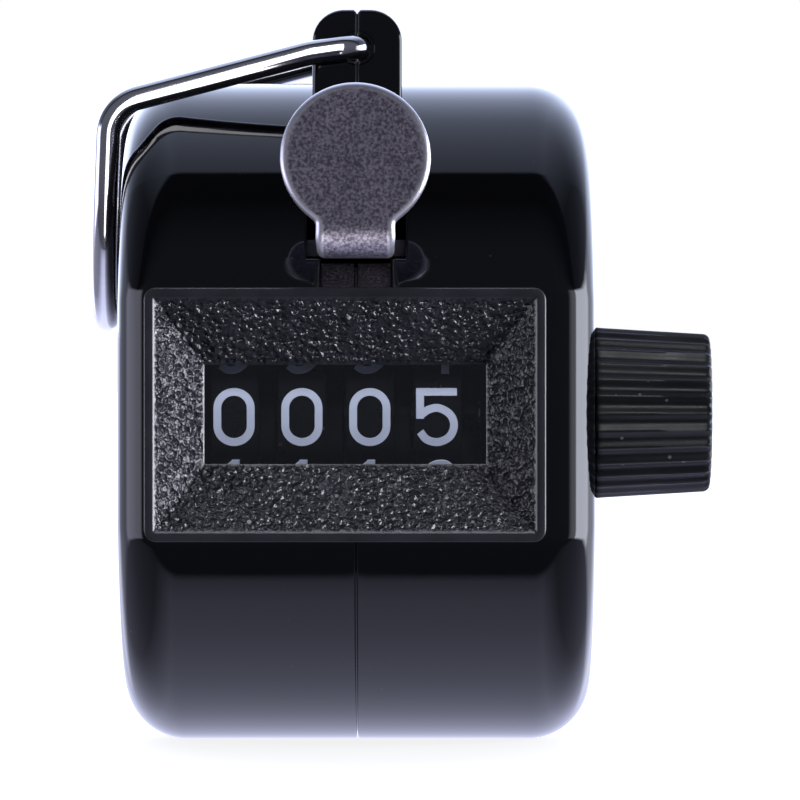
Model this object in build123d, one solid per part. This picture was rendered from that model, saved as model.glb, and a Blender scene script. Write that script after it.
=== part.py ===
from build123d import *
import math
import os

# Hand tally counter. Millimetres, +X to the reset knob, -Y to the number window, +Z up to the finger ring.
# The origin is on the axis of the round case, in the plane where its two halves meet.

# ---- case ----
CASE_R = 25.0
CASE_HALF_WIDTH = 17.6
CASE_WALL = 2.0
CASE_EDGE_R = 4.6
FACET_Y = -23.2            # the flat front that carries the window bezel
PARTING_GROOVE_WIDTH = 0.1
PARTING_GROOVE_DEPTH = 0.5
LUG_WIDTH = 6.65
LUG_HALF_THICKNESS = 8.5
LUG_TOP_Z = 30.3
LUG_CORNER_R = 2.4
LUG_EDGE_R = 0.5
LUG_NOTCH = 0.35
JOIN_PIN_R = 1.0
JOIN_PIN_LENGTH = 3.0
JOIN_BOSS_R = 2.6
JOIN_SOCKET_EXTRA = 0.3       # how much deeper each socket is than its pin
JOIN_CIRCLE_R = 20.6       # the case halves' pins stand on this circle
JOIN_ANGLES = (81.0, 26.0, -26.0, -98.5)
SEAT_CLEARANCE = 0.03      # parts that are pushed together
RUN_CLEARANCE = 0.03       # parts that turn on each other

# ---- window ----
BEZEL_X = -0.8
BEZEL_WIDTH = 29.4
BEZEL_HEIGHT = 18.6
BEZEL_CORNER_R = 0.9
BEZEL_PROUD = 0.4
BEZEL_LIP = 0.4            # how far the bezel's front covers the case around its opening
BEZEL_RIM = 0.7
WINDOW_WIDTH = 20.7
WINDOW_HEIGHT = 7.3
FUNNEL_DEPTH = 2.7
WINDOW_EDGE = 0.5
LENS_THICKNESS = 0.85
LENS_MARGIN = 1.4
LENS_FRAME_WALL = 0.8

# ---- number wheels ----
WHEEL_COUNT = 4
WHEEL_R = 8.65
WHEEL_PITCH = 5.0
DRUM_WIDTH = 3.6
FIRST_WHEEL_X = -9.0       # middle of the thousands drum
RIM_WALL = 1.3
WEB_THICKNESS = 0.9
HUB_R = 2.9
WHEEL_GAP = 0.15
TOOTH_COUNT = 10
TOOTH_TIP_R = 6.7
TOOTH_ROOT_R = 5.6
DEEP_ROOT_R = 4.6          # the one notch that lets the next wheel's pawl drop in
WHEEL_NAMES = ("thousands", "hundreds", "tens", "units")
SHOWN_DIGITS = (0, 0, 0, 5)
RESET_PAWL_THICKNESS = 0.8
RESET_PAWL_POST_R = 0.5
RESET_PAWL_CIRCLE_R = 5.2
RESET_PAWL_WIDTH = 1.0
RESET_NOSE_GAP = 0.1
RESET_POST_ANGLE = 35.0       # degrees from the middle of the number 0
RESET_POST_START = 0.4        # the post starts this far inside the drum's left edge
RESET_EYE_R = 1.1
RESET_ELBOW = 1.5             # how far the pawl's elbow stands above the hub
RESET_PAWL_OFFSET = -0.3      # the pawl's middle, from the drum's middle
HUB_CLEARANCE = 0.1

# ---- reset shaft and knob ----
SHAFT_Y = -10.5
SHAFT_R = 1.5
SHAFT_LEFT_X = -14.9
SHAFT_GROOVE_WIDTH = 0.8
SHAFT_GROOVE_DEPTH = 0.5
CLIP_THICKNESS = 0.5
CLIP_SEAT_R = 1.15
CLIP_R = 2.6
KNOB_BASE_R = 6.42
KNOB_END_R = 5.9
KNOB_LENGTH = 8.65
KNOB_GAP = 0.15
KNOB_FLUTES = 30
KNOB_FLUTE_DEPTH = 0.3
KNOB_CAP = 1.0             # plastic left over the end of the shaft
SHAFT_WALL_CLEARANCE = 0.2

# ---- mechanism frame ----
PLATE_THICKNESS = 1.0
LEFT_PLATE_X = -13.4       # outer face
RIGHT_PLATE_X = 12.6       # outer face
PLATE_R = 17.4
PLATE_BACK_Y = 9.5
ROD_R = 1.25
ROD_END_DEPTH = 1.6        # how far each rod stands into the case
ROD_BOSS_R = 2.6
ROD_BOSS_GAP = 0.1
FULCRUM = (-4.0, -14.0)
DETENT_ROD = (-9.5, -12.2)
REAR_POST = (6.0, 11.0)
SPACER_R = 2.6

# ---- thumb lever ----
SHEET = 1.2                # the lever's sheet
PAD_R = 5.45
PAD_Z = 18.7
PAD_LEAN = 8.0             # degrees, top towards the case
TONGUE_WIDTH = 5.6
BEND_Y = -29.4
TONGUE_Z = 12.25           # mid-sheet
BEND_R = 1.5               # mid-sheet
BRIDGE_FRONT_Y = -18.0
BRIDGE_BACK_Y = -14.2
ARM_THICKNESS = 1.0
ARM_PLATE_GAP = 0.2
ARM_END_R = 2.4
ARM_FRONT_ELBOW = (3.0, 0.6)  # in front of the shaft, and below the top of the wheels
ARM_BACK_ELBOW = (2.6, 17.6)  # in front of the fulcrum and above it
ARM_BACK_TOP = (0.8, 21.2)    # behind the fulcrum and above it
SLOT_WIDTH = 7.2
SLOT_FLOOR_Z = 11.5
SLOT_ROOF_Z = 17.7
CHANNEL_WIDTH = 5.1
CHANNEL_DEPTH = 0.6

# ---- drive pawl, detent and springs ----
PAWL_PIVOT = (-17.5, 8.6)
PAWL_PIN_R = 0.8
PAWL_LUG_R = 1.7
PAWL_BARREL_R = 1.5
FINGER_WIDTH = 0.8
FINGER_THICKNESS = 1.0
FINGER_GAP = 0.12          # finger tips to the circle of the tooth tips
PAWL_BARREL_START = 2.2       # barrel left of the first finger's middle
BARREL_END = 1.2              # barrel or sleeve beyond the other end fingers' middles
DETENT_LEAF = 0.35
DETENT_ANGLE = -62.0          # where the leaves rest, in degrees round the shaft
DETENT_SLEEVE_R = 1.75
RETURN_WIRE_R = 0.25
RETURN_COIL_R = 1.75
RETURN_TURNS = 4
RETURN_LAST_LEG = (100.0, 5.0)   # degrees from +Y towards +Z, then the leg's length
RETURN_HOOK = 3.6
RETURN_HOOK_HOLE_R = 0.35
PAWL_WIRE_R = 0.15
PAWL_COIL_R = 1.1
PAWL_TURNS = 2
PAWL_FIRST_LEG = (31.0, 3.0)
PAWL_LAST_LEG = (8.2, 2.45)
PAWL_HOOK = 3.2
COIL_GAP = 0.06

# ---- finger ring ----
RING_WIRE_R = 0.92
RING_HOLE_CLEARANCE = 0.06
RING_PIVOT_Z = 27.4
RING_HALF_WIDTH = 11.0     # middle of one leg to the middle plane
RING_END_DEPTH = 3.5       # how far each end stands in the lug
RING_HOLE_DEPTH = 4.0
RING_KNEE = (-3.6, 26.9)
RING_CORNER = (-18.55, 23.0)
RING_FOOT = (-19.15, 7.1)
RING_KNEE_R = 8.0
RING_CORNER_R = 3.0
RING_END_BEND_R = 1.4

SHAFT = (SHAFT_Y, 0.0)
INNER_R = CASE_R - CASE_WALL
INNER_HALF_WIDTH = CASE_HALF_WIDTH - CASE_WALL
LEFT_PLATE_INNER_X = LEFT_PLATE_X + PLATE_THICKNESS
RIGHT_PLATE_INNER_X = RIGHT_PLATE_X - PLATE_THICKNESS
LEFT_ARM_X = LEFT_PLATE_INNER_X + ARM_PLATE_GAP
RIGHT_ARM_X = RIGHT_PLATE_INNER_X - ARM_PLATE_GAP
WHEELS_LEFT_X = FIRST_WHEEL_X - DRUM_WIDTH / 2
WHEELS_RIGHT_X = WHEELS_LEFT_X + WHEEL_COUNT * WHEEL_PITCH - WHEEL_GAP
BEZEL_FRONT_Y = FACET_Y - BEZEL_PROUD
WINDOW_Y = BEZEL_FRONT_Y + FUNNEL_DEPTH
BEZEL_BACK_Y = WINDOW_Y + WINDOW_EDGE
TOOTH_STEP = 360 / TOOTH_COUNT


# ---- shapes that are used again and again; a place is (y, z) seen along X ----
def cylinder_x(radius, x0, x1, place):
    """A round bar along X from x0 to x1."""
    return extrude(Plane.YZ.offset(x0) * Pos(*place) * Circle(radius), amount=x1 - x0)


def tube_x(outer_r, inner_r, x0, x1, place):
    """A round tube along X from x0 to x1."""
    ring = Circle(outer_r) - Circle(inner_r)
    return extrude(Plane.YZ.offset(x0) * Pos(*place) * ring, amount=x1 - x0)


def slab_x(outline, x0, x1):
    """An outline in the YZ plane, carried along X from x0 to x1."""
    return extrude(Plane.YZ.offset(x0) * outline, amount=x1 - x0)


def block(x0, x1, y0, y1, z0, z1):
    """A box between two corners."""
    middle = Pos((x0 + x1) / 2, (y0 + y1) / 2, (z0 + z1) / 2)
    return middle * Box(x1 - x0, y1 - y0, z1 - z0)


def link(start, end, width):
    """A straight bar with round ends in the YZ plane, as an outline."""
    length = math.dist(start, end)
    turn = math.degrees(math.atan2(end[1] - start[1], end[0] - start[0]))
    middle = Pos((start[0] + end[0]) / 2, (start[1] + end[1]) / 2)
    bar = middle * Rot(0, 0, turn) * Rectangle(length, width)
    return bar + Pos(*start) * Circle(width / 2) + Pos(*end) * Circle(width / 2)


def polar(centre, radius, angle):
    """The point at an angle in degrees on a circle in the YZ plane."""
    turn = math.radians(angle)
    return (centre[0] + radius * math.cos(turn), centre[1] + radius * math.sin(turn))


def case_outline(radius, facet_y):
    """A circle cut straight at the front."""
    return Circle(radius) - Pos(facet_y - radius, 0) * Rectangle(2 * radius, 2 * radius)


# ---- case halves ----
def rounded_drum(radius, facet_y, half_width, edge_r):
    """The case outline carried along X, with its two ends rounded over."""
    drum = slab_x(case_outline(radius, facet_y), -half_width, half_width)
    ends = drum.edges().filter_by_position(Axis.X, half_width - 0.01, half_width + 0.01)
    ends += drum.edges().filter_by_position(Axis.X, -half_width - 0.01, -half_width + 0.01)
    return fillet(ends, edge_r)


def ring_lug():
    """The tab on top of the case that the finger ring hangs in."""
    height = LUG_TOP_Z - INNER_R + LUG_CORNER_R + LUG_EDGE_R
    outline = Pos(0, LUG_TOP_Z - height / 2) * RectangleRounded(LUG_WIDTH, height, LUG_CORNER_R)
    lug = extrude(Plane.XZ * outline, amount=LUG_HALF_THICKNESS, both=True)
    front = lug.edges().filter_by_position(Axis.Y, -LUG_HALF_THICKNESS - 0.01, -LUG_HALF_THICKNESS + 0.01)
    back = lug.edges().filter_by_position(Axis.Y, LUG_HALF_THICKNESS - 0.01, LUG_HALF_THICKNESS + 0.01)
    return fillet(front + back, LUG_EDGE_R)


def ring_hole(side):
    """The blind hole for one end of the finger ring; side is -1 at the front and 1 at the back."""
    hole = extrude(
        Plane.XZ.offset(-side * LUG_HALF_THICKNESS) * Pos(0, RING_PIVOT_Z)
        * Circle(RING_WIRE_R + RING_HOLE_CLEARANCE),
        amount=side * RING_HOLE_DEPTH,
    )
    return hole


def parting_groove():
    """The fine groove that runs all round the outside where the halves meet."""
    depth = PARTING_GROOVE_DEPTH
    core = case_outline(CASE_R - depth, FACET_Y + depth)
    lug_core = Rectangle(2 * (LUG_HALF_THICKNESS - depth), LUG_TOP_Z - depth)
    core += Pos(0, (LUG_TOP_Z - depth) / 2) * lug_core
    sheet = Rectangle(4 * CASE_R, 4 * CASE_R) - core
    return slab_x(sheet, -PARTING_GROOVE_WIDTH / 2, PARTING_GROOVE_WIDTH / 2)


def lug_notch():
    """The small V where the halves' rounded edges meet on top of the lug."""
    notch = Pos(0, LUG_TOP_Z) * Rot(0, 0, 45) * Rectangle(LUG_NOTCH, LUG_NOTCH)
    return extrude(Plane.XZ * notch, amount=2 * LUG_HALF_THICKNESS, both=True)


def lever_slot_cuts():
    """The slot for the thumb lever and the shallow channel below it."""
    slot = block(-SLOT_WIDTH / 2, SLOT_WIDTH / 2, -CASE_R - 1, SHAFT_Y, SLOT_FLOOR_Z, SLOT_ROOF_Z)
    skin = case_outline(CASE_R + 1, FACET_Y - 1) - case_outline(CASE_R - CHANNEL_DEPTH, FACET_Y - 1)
    channel = slab_x(skin, -CHANNEL_WIDTH / 2, CHANNEL_WIDTH / 2)
    channel &= block(-CASE_R, CASE_R, -CASE_R - 2, SHAFT_Y, BEZEL_HEIGHT / 2, SLOT_FLOOR_Z)
    return slot + channel


def bezel_opening():
    """The opening in the front of the case that the bezel sits in."""
    half_width = BEZEL_WIDTH / 2 - BEZEL_LIP + SEAT_CLEARANCE
    half_height = BEZEL_HEIGHT / 2 - BEZEL_LIP + SEAT_CLEARANCE
    back_y = FACET_Y + CASE_WALL + 2
    return block(
        BEZEL_X - half_width, BEZEL_X + half_width, FACET_Y - 1, back_y, -half_height, half_height
    )


def case():
    """Both halves in one, before they are parted."""
    shape = rounded_drum(CASE_R, FACET_Y, CASE_HALF_WIDTH, CASE_EDGE_R) + ring_lug()
    inner_edge_r = CASE_EDGE_R - CASE_WALL
    shape -= rounded_drum(INNER_R, FACET_Y + CASE_WALL, INNER_HALF_WIDTH, inner_edge_r)
    for angle in JOIN_ANGLES:
        place = polar((0, 0), JOIN_CIRCLE_R, angle)
        shape += cylinder_x(JOIN_BOSS_R, -INNER_HALF_WIDTH - 0.5, INNER_HALF_WIDTH + 0.5, place)
    for rod in (FULCRUM, DETENT_ROD, REAR_POST):
        left_end = LEFT_PLATE_X - ROD_BOSS_GAP
        right_end = RIGHT_PLATE_X + ROD_BOSS_GAP
        shape += cylinder_x(ROD_BOSS_R, -INNER_HALF_WIDTH - 0.5, left_end, rod)
        shape += cylinder_x(ROD_BOSS_R, right_end, INNER_HALF_WIDTH + 0.5, rod)
        bore_r = ROD_R + SEAT_CLEARANCE
        depth = ROD_END_DEPTH + ROD_BOSS_GAP + SEAT_CLEARANCE
        shape -= cylinder_x(bore_r, left_end - depth, left_end, rod)
        shape -= cylinder_x(bore_r, right_end, right_end + depth, rod)
    shape -= lever_slot_cuts() + bezel_opening() + parting_groove() + lug_notch()
    shape -= ring_hole(-1) + ring_hole(1)
    shaft_bore_r = SHAFT_R + SHAFT_WALL_CLEARANCE
    return shape - cylinder_x(shaft_bore_r, 0, CASE_HALF_WIDTH + 1, SHAFT)


def case_halves():
    """The left half with its pins and the right half with their sockets."""
    whole = case()
    reach = 2 * CASE_R
    left = whole & block(-reach, 0, -reach, reach, -reach, reach)
    right = whole & block(0, reach, -reach, reach, -reach, reach)
    for angle in JOIN_ANGLES:
        place = polar((0, 0), JOIN_CIRCLE_R, angle)
        left += cylinder_x(JOIN_PIN_R, -1, JOIN_PIN_LENGTH, place)
        right -= cylinder_x(JOIN_PIN_R + SEAT_CLEARANCE, 0, JOIN_PIN_LENGTH + JOIN_SOCKET_EXTRA, place)
    return left, right


# ---- window ----
def bezel():
    """The frame round the window: a lip on the case, a body through it and four sloping faces."""
    lip = RectangleRounded(BEZEL_WIDTH, BEZEL_HEIGHT, BEZEL_CORNER_R)
    body_width = BEZEL_WIDTH - 2 * BEZEL_LIP
    body_height = BEZEL_HEIGHT - 2 * BEZEL_LIP
    front = Plane.XZ.offset(-BEZEL_FRONT_Y) * Pos(BEZEL_X, 0)
    shape = extrude(front * lip, amount=-BEZEL_PROUD)
    body = Rectangle(body_width, body_height)
    shape += extrude(front * body, amount=BEZEL_FRONT_Y - BEZEL_BACK_Y)
    lens_width = WINDOW_WIDTH + 2 * LENS_MARGIN + 2 * SEAT_CLEARANCE
    lens_height = WINDOW_HEIGHT + 2 * LENS_MARGIN + 2 * SEAT_CLEARANCE
    frame = Rectangle(lens_width + 2 * LENS_FRAME_WALL, lens_height + 2 * LENS_FRAME_WALL)
    frame -= Rectangle(lens_width, lens_height)
    back = Plane.XZ.offset(-BEZEL_BACK_Y) * Pos(BEZEL_X, 0)
    shape += extrude(back * frame, amount=-LENS_THICKNESS)
    mouth = Rectangle(BEZEL_WIDTH - 2 * BEZEL_RIM, BEZEL_HEIGHT - 2 * BEZEL_RIM)
    window = Rectangle(WINDOW_WIDTH, WINDOW_HEIGHT)
    at_window = Plane.XZ.offset(-WINDOW_Y) * Pos(BEZEL_X, 0)
    shape -= loft([(front * mouth).face(), (at_window * window).face()], ruled=True)
    return shape - extrude(at_window * window, amount=-2 * WINDOW_EDGE)


def lens():
    """The clear flat window behind the bezel."""
    half_width = WINDOW_WIDTH / 2 + LENS_MARGIN
    half_height = WINDOW_HEIGHT / 2 + LENS_MARGIN
    return block(
        BEZEL_X - half_width, BEZEL_X + half_width,
        BEZEL_BACK_Y, BEZEL_BACK_Y + LENS_THICKNESS, -half_height, half_height,
    )


# ---- mechanism frame ----
def side_plate(x0):
    """One plate of the mechanism frame, with holes for its rods and a bearing hole for the shaft."""
    outline = Circle(PLATE_R)
    outline -= Pos(PLATE_BACK_Y + PLATE_R, 0) * Rectangle(2 * PLATE_R, 2 * PLATE_R)
    for rod in (FULCRUM, DETENT_ROD, REAR_POST):
        outline -= Pos(*rod) * Circle(ROD_R + SEAT_CLEARANCE)
    outline -= Pos(*SHAFT) * Circle(SHAFT_R + RUN_CLEARANCE)
    return slab_x(outline, x0, x0 + PLATE_THICKNESS)


def frame_rod(place):
    """A rod that ties the plates together and stands in the case at both ends."""
    return cylinder_x(ROD_R, LEFT_PLATE_X - ROD_END_DEPTH, RIGHT_PLATE_X + ROD_END_DEPTH, place)


def shaft_spacer(x0, x1):
    """A sleeve that keeps the wheels in line on the shaft."""
    return tube_x(SPACER_R, SHAFT_R + RUN_CLEARANCE, x0, x1, SHAFT)


# ---- reset shaft and knob ----
def reset_shaft():
    """The wheels' shaft, with the reset groove along it and a clip seat at its left end."""
    right_x = CASE_HALF_WIDTH + KNOB_GAP + KNOB_LENGTH - KNOB_CAP
    shaft = cylinder_x(SHAFT_R, SHAFT_LEFT_X, right_x, SHAFT)
    groove_middle = (SHAFT_Y, SHAFT_R - SHAFT_GROOVE_DEPTH / 2 + 0.25)
    groove = Pos(*groove_middle) * Rectangle(SHAFT_GROOVE_WIDTH, SHAFT_GROOVE_DEPTH + 0.5)
    shaft -= slab_x(groove, WHEELS_LEFT_X, WHEELS_RIGHT_X)
    clip_x = LEFT_PLATE_X - 2 * RUN_CLEARANCE
    seat = tube_x(SHAFT_R + 1, CLIP_SEAT_R, clip_x - CLIP_THICKNESS, clip_x, SHAFT)
    return shaft - seat


def shaft_clip():
    """The open spring clip that holds the shaft in the frame."""
    clip_x = LEFT_PLATE_X - 2 * RUN_CLEARANCE
    clip = tube_x(
        CLIP_R, CLIP_SEAT_R + SEAT_CLEARANCE,
        clip_x - CLIP_THICKNESS + SEAT_CLEARANCE, clip_x - SEAT_CLEARANCE, SHAFT,
    )
    mouth = block(
        clip_x - 2 * CLIP_THICKNESS, clip_x + CLIP_THICKNESS,
        SHAFT_Y - CLIP_SEAT_R, SHAFT_Y + CLIP_SEAT_R, -2 * CLIP_R, 0,
    )
    return clip - mouth


def fluted_outline(outer_r):
    """A circle with a shallow V flute between every two ridges."""
    points = []
    for step in range(2 * KNOB_FLUTES):
        radius = outer_r - KNOB_FLUTE_DEPTH * (step % 2)
        points.append(polar((0, 0), radius, 180 * step / KNOB_FLUTES))
    return Polygon(*points, align=None)


def reset_knob():
    """The tapering fluted knob, bored for the shaft."""
    base_x = CASE_HALF_WIDTH + KNOB_GAP
    base = (Plane.YZ.offset(base_x) * Pos(*SHAFT) * fluted_outline(KNOB_BASE_R)).face()
    end = (Plane.YZ.offset(base_x + KNOB_LENGTH) * Pos(*SHAFT) * fluted_outline(KNOB_END_R)).face()
    knob = loft([base, end], ruled=True)
    bore_end = base_x + KNOB_LENGTH - KNOB_CAP + SEAT_CLEARANCE
    return knob - cylinder_x(SHAFT_R + SEAT_CLEARANCE / 3, base_x - 1, bore_end, SHAFT)


# ---- number wheels ----
def ratchet_outline():
    """Ten saw teeth, driven on their straight sides, one of them over a deep notch."""
    points = []
    for tooth in range(TOOTH_COUNT):
        angle = tooth * TOOTH_STEP
        root_r = DEEP_ROOT_R if tooth == 0 else TOOTH_ROOT_R
        points.append(polar((0, 0), TOOTH_TIP_R, angle))
        points.append(polar((0, 0), root_r, angle))
        points.append(polar((0, 0), root_r, angle + TOOTH_STEP / 6))
    return Polygon(*points, align=None)


def turned_wheel(shape, middle_x, digit):
    """Puts a wheel part that was made with 0 in front onto the shaft, showing a digit."""
    return Pos(middle_x, SHAFT_Y, 0) * Rot(-digit * TOOTH_STEP, 0, 0) * shape


def number_wheel(middle_x, digit):
    """A hollow drum on a hub, with its ratchet on the right and a post for the reset pawl."""
    left = -DRUM_WIDTH / 2
    right = DRUM_WIDTH / 2
    ratchet_end = left + WHEEL_PITCH - WHEEL_GAP
    centre = (0, 0)
    wheel = tube_x(WHEEL_R, WHEEL_R - RIM_WALL, left, right, centre)
    wheel += cylinder_x(WHEEL_R - RIM_WALL / 2, right - WEB_THICKNESS, right, centre)
    wheel += cylinder_x(HUB_R, left, ratchet_end, centre)
    wheel += slab_x(ratchet_outline(), right - WEB_THICKNESS / 2, ratchet_end)
    wheel -= cylinder_x(SHAFT_R + RUN_CLEARANCE, left - 1, ratchet_end + 1, centre)
    nose_half = RESET_PAWL_WIDTH / 2 + RESET_NOSE_GAP
    nose_slot = Pos(0, HUB_R) * Rectangle(2 * nose_half, 2 * HUB_R)
    wheel -= slab_x(nose_slot, left - 1, right - WEB_THICKNESS) & cylinder_x(
        HUB_R + HUB_CLEARANCE, left - 1, right, centre
    )
    post = reset_post_place()
    wheel += cylinder_x(RESET_PAWL_POST_R, left + RESET_POST_START, right - WEB_THICKNESS / 2, post)
    return turned_wheel(wheel, middle_x, digit)


def reset_post_place():
    """Where the reset pawl is fixed in its wheel, seen along X from the wheel's middle."""
    return polar((0, 0), RESET_PAWL_CIRCLE_R, RESET_POST_ANGLE)


def reset_pawl(middle_x, digit):
    """The spring finger inside a wheel, whose nose drops into the shaft's groove."""
    post = reset_post_place()
    nose_top = (0, HUB_R + RESET_ELBOW)
    nose_tip = (0, SHAFT_R + RESET_NOSE_GAP + RESET_PAWL_WIDTH / 2)
    outline = link(post, nose_top, RESET_PAWL_WIDTH) + link(nose_top, nose_tip, RESET_PAWL_WIDTH)
    outline += Pos(*post) * Circle(RESET_EYE_R)
    outline -= Pos(*post) * Circle(RESET_PAWL_POST_R + SEAT_CLEARANCE)
    middle = RESET_PAWL_OFFSET
    finger = slab_x(outline, middle - RESET_PAWL_THICKNESS / 2, middle + RESET_PAWL_THICKNESS / 2)
    return turned_wheel(finger, middle_x, digit)


# ---- thumb lever ----
def lever_pad():
    """The round pad and the neck under it, bent back into the tongue, all in one sheet."""
    lean = math.radians(PAD_LEAN)
    up = (math.sin(lean), math.cos(lean))
    rise = (PAD_Z - TONGUE_Z) / up[1]
    pad_middle = (BEND_Y + rise * up[0], PAD_Z)
    half = SHEET / 2
    bend_top = (BEND_Y + BEND_R * up[0], TONGUE_Z + BEND_R)
    neck = link(bend_top, pad_middle, SHEET)
    corner_turn = -math.degrees(lean)
    quarter = Circle(BEND_R + half) - Circle(BEND_R - half)
    quarter &= Pos(-BEND_R, -BEND_R) * Rectangle(2 * BEND_R, 2 * BEND_R)
    bend_middle = (bend_top[0] + BEND_R, bend_top[1])
    strip = neck + Pos(*bend_middle) * quarter
    tongue = Rectangle(BRIDGE_BACK_Y - bend_middle[0], SHEET)
    strip += Pos((BRIDGE_BACK_Y + bend_middle[0]) / 2, TONGUE_Z) * tongue
    shape = slab_x(strip, -TONGUE_WIDTH / 2, TONGUE_WIDTH / 2)
    disc = Cylinder(PAD_R, SHEET)
    return shape + Pos(0, *pad_middle) * Rot(90 + corner_turn, 0, 0) * disc


def lever_arm(x0):
    """One arm of the lever, from the bridge round the back of the shaft to the fulcrum."""
    top = TONGUE_Z + SHEET / 2
    fulcrum_y, fulcrum_z = FULCRUM
    outline = Polygon(
        (BRIDGE_FRONT_Y, top),
        (BRIDGE_FRONT_Y, PAWL_PIVOT[1]),
        (SHAFT_Y - ARM_FRONT_ELBOW[0], WHEEL_R - ARM_FRONT_ELBOW[1]),
        (fulcrum_y - ARM_BACK_ELBOW[0], fulcrum_z + ARM_BACK_ELBOW[1]),
        (fulcrum_y - ARM_END_R, fulcrum_z),
        (fulcrum_y + ARM_END_R, fulcrum_z),
        (fulcrum_y + ARM_BACK_TOP[0], fulcrum_z + ARM_BACK_TOP[1]),
        (BRIDGE_BACK_Y, top),
        align=None,
    )
    outline += Pos(*FULCRUM) * Circle(ARM_END_R)
    outline += Pos(*PAWL_PIVOT) * Circle(PAWL_LUG_R)
    outline -= Pos(*FULCRUM) * Circle(ROD_R + RUN_CLEARANCE)
    outline -= Pos(*PAWL_PIVOT) * Circle(PAWL_PIN_R + SEAT_CLEARANCE / 3)
    hook_place = leg_end(FULCRUM, RETURN_COIL_R, *RETURN_LAST_LEG)
    outline -= Pos(*hook_place) * Circle(RETURN_HOOK_HOLE_R)
    return slab_x(outline, x0, x0 + ARM_THICKNESS)


def thumb_lever():
    """The pressed-steel lever: pad, tongue, a bridge over the wheels and an arm at each side."""
    half = SHEET / 2
    bridge = block(
        LEFT_ARM_X, RIGHT_ARM_X, BRIDGE_FRONT_Y, BRIDGE_BACK_Y, TONGUE_Z - half, TONGUE_Z + half
    )
    return lever_pad() + bridge + lever_arm(LEFT_ARM_X) + lever_arm(RIGHT_ARM_X - ARM_THICKNESS)


# ---- drive pawl and detent ----
def ratchet_middles():
    """Where the wheels' ratchets are along X."""
    offset = WHEEL_PITCH / 2
    return [FIRST_WHEEL_X + offset + number * WHEEL_PITCH for number in range(WHEEL_COUNT)]


def drive_pawl():
    """Four fingers on one barrel, which push the ratchets round."""
    middles = ratchet_middles()
    x0 = middles[0] - PAWL_BARREL_START
    x1 = middles[-1] + BARREL_END
    comb = tube_x(PAWL_BARREL_R, PAWL_PIN_R + RUN_CLEARANCE, x0, x1, PAWL_PIVOT)
    towards = math.degrees(math.atan2(SHAFT[1] - FULCRUM[1], SHAFT[0] - FULCRUM[0]))
    half = FINGER_THICKNESS / 2
    tip = polar(SHAFT, TOOTH_TIP_R + FINGER_GAP + half, towards)
    finger = link(PAWL_PIVOT, tip, FINGER_THICKNESS)
    finger -= Pos(*PAWL_PIVOT) * Circle(PAWL_PIN_R + RUN_CLEARANCE)
    for middle in middles:
        comb += slab_x(finger, middle - FINGER_WIDTH / 2, middle + FINGER_WIDTH / 2)
    return comb


def detent_comb():
    """Four leaf springs on a sleeve, which stop the ratchets from turning back."""
    middles = ratchet_middles()
    x0 = middles[0] - BARREL_END
    x1 = middles[-1] + BARREL_END
    comb = tube_x(DETENT_SLEEVE_R, ROD_R + SEAT_CLEARANCE, x0, x1, DETENT_ROD)
    half = DETENT_LEAF / 2
    tip = polar(SHAFT, TOOTH_TIP_R + FINGER_GAP + half, DETENT_ANGLE)
    root = (DETENT_ROD[0] + DETENT_SLEEVE_R - half, DETENT_ROD[1])
    leaf = link(root, tip, DETENT_LEAF)
    for middle in middles:
        comb += slab_x(leaf, middle - FINGER_WIDTH / 2, middle + FINGER_WIDTH / 2)
    return comb


def leg_end(place, coil_r, direction, length):
    """Where a straight leg ends that leaves a coil at a tangent in the given direction."""
    turn = math.radians(direction)
    return (
        place[0] + coil_r * math.sin(turn) + length * math.cos(turn),
        place[1] - coil_r * math.cos(turn) + length * math.sin(turn),
    )


def torsion_spring(place, x0, coil_r, wire_r, turns, first_leg, last_leg, hook):
    """A coil about an axis along X; each leg is (direction, length), the last one hooked along X."""
    start = first_leg[0] - 180
    all_turns = turns + ((last_leg[0] - start) % 360) / 360
    pitch = 2 * wire_r + COIL_GAP
    spiral = Helix(pitch=pitch, height=pitch * all_turns, radius=coil_r)
    spiral = Pos(x0, *place) * Rot(start, 0, 0) * Rot(0, 90, 0) * spiral
    first = Line(spiral @ 0 - (spiral % 0) * first_leg[1], spiral @ 0)
    corner = spiral @ 1 + (spiral % 1) * last_leg[1]
    last = FilletPolyline(spiral @ 1, corner, corner + Vector(hook, 0, 0), radius=2 * wire_r)
    path = Wire(first.edges() + spiral.edges() + last.edges())
    section = Plane(origin=path @ 0, z_dir=path % 0) * Circle(wire_r)
    return sweep(section, path=path)


def return_spring():
    """The spring on the fulcrum: one leg under the detent rod, the other hooked into the left arm."""
    run = (DETENT_ROD[0] - FULCRUM[0], DETENT_ROD[1] - FULCRUM[1])
    rod_seat_r = DETENT_SLEEVE_R + RETURN_WIRE_R + SEAT_CLEARANCE
    slope = math.asin((RETURN_COIL_R - rod_seat_r) / math.hypot(*run))
    direction = math.degrees(math.atan2(run[1], run[0]) - slope)
    x0 = LEFT_ARM_X + ARM_THICKNESS + 3 * RETURN_WIRE_R
    return torsion_spring(
        FULCRUM, x0, RETURN_COIL_R, RETURN_WIRE_R, RETURN_TURNS,
        (direction, math.hypot(*run) + DETENT_SLEEVE_R), RETURN_LAST_LEG, -RETURN_HOOK,
    )


def pawl_spring():
    """The light spring on the pawl's pin: one leg under the bridge, the other on the first finger."""
    x0 = LEFT_ARM_X + ARM_THICKNESS + 2 * PAWL_WIRE_R
    return torsion_spring(
        PAWL_PIVOT, x0, PAWL_COIL_R, PAWL_WIRE_R, PAWL_TURNS, PAWL_FIRST_LEG, PAWL_LAST_LEG, PAWL_HOOK
    )


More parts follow.
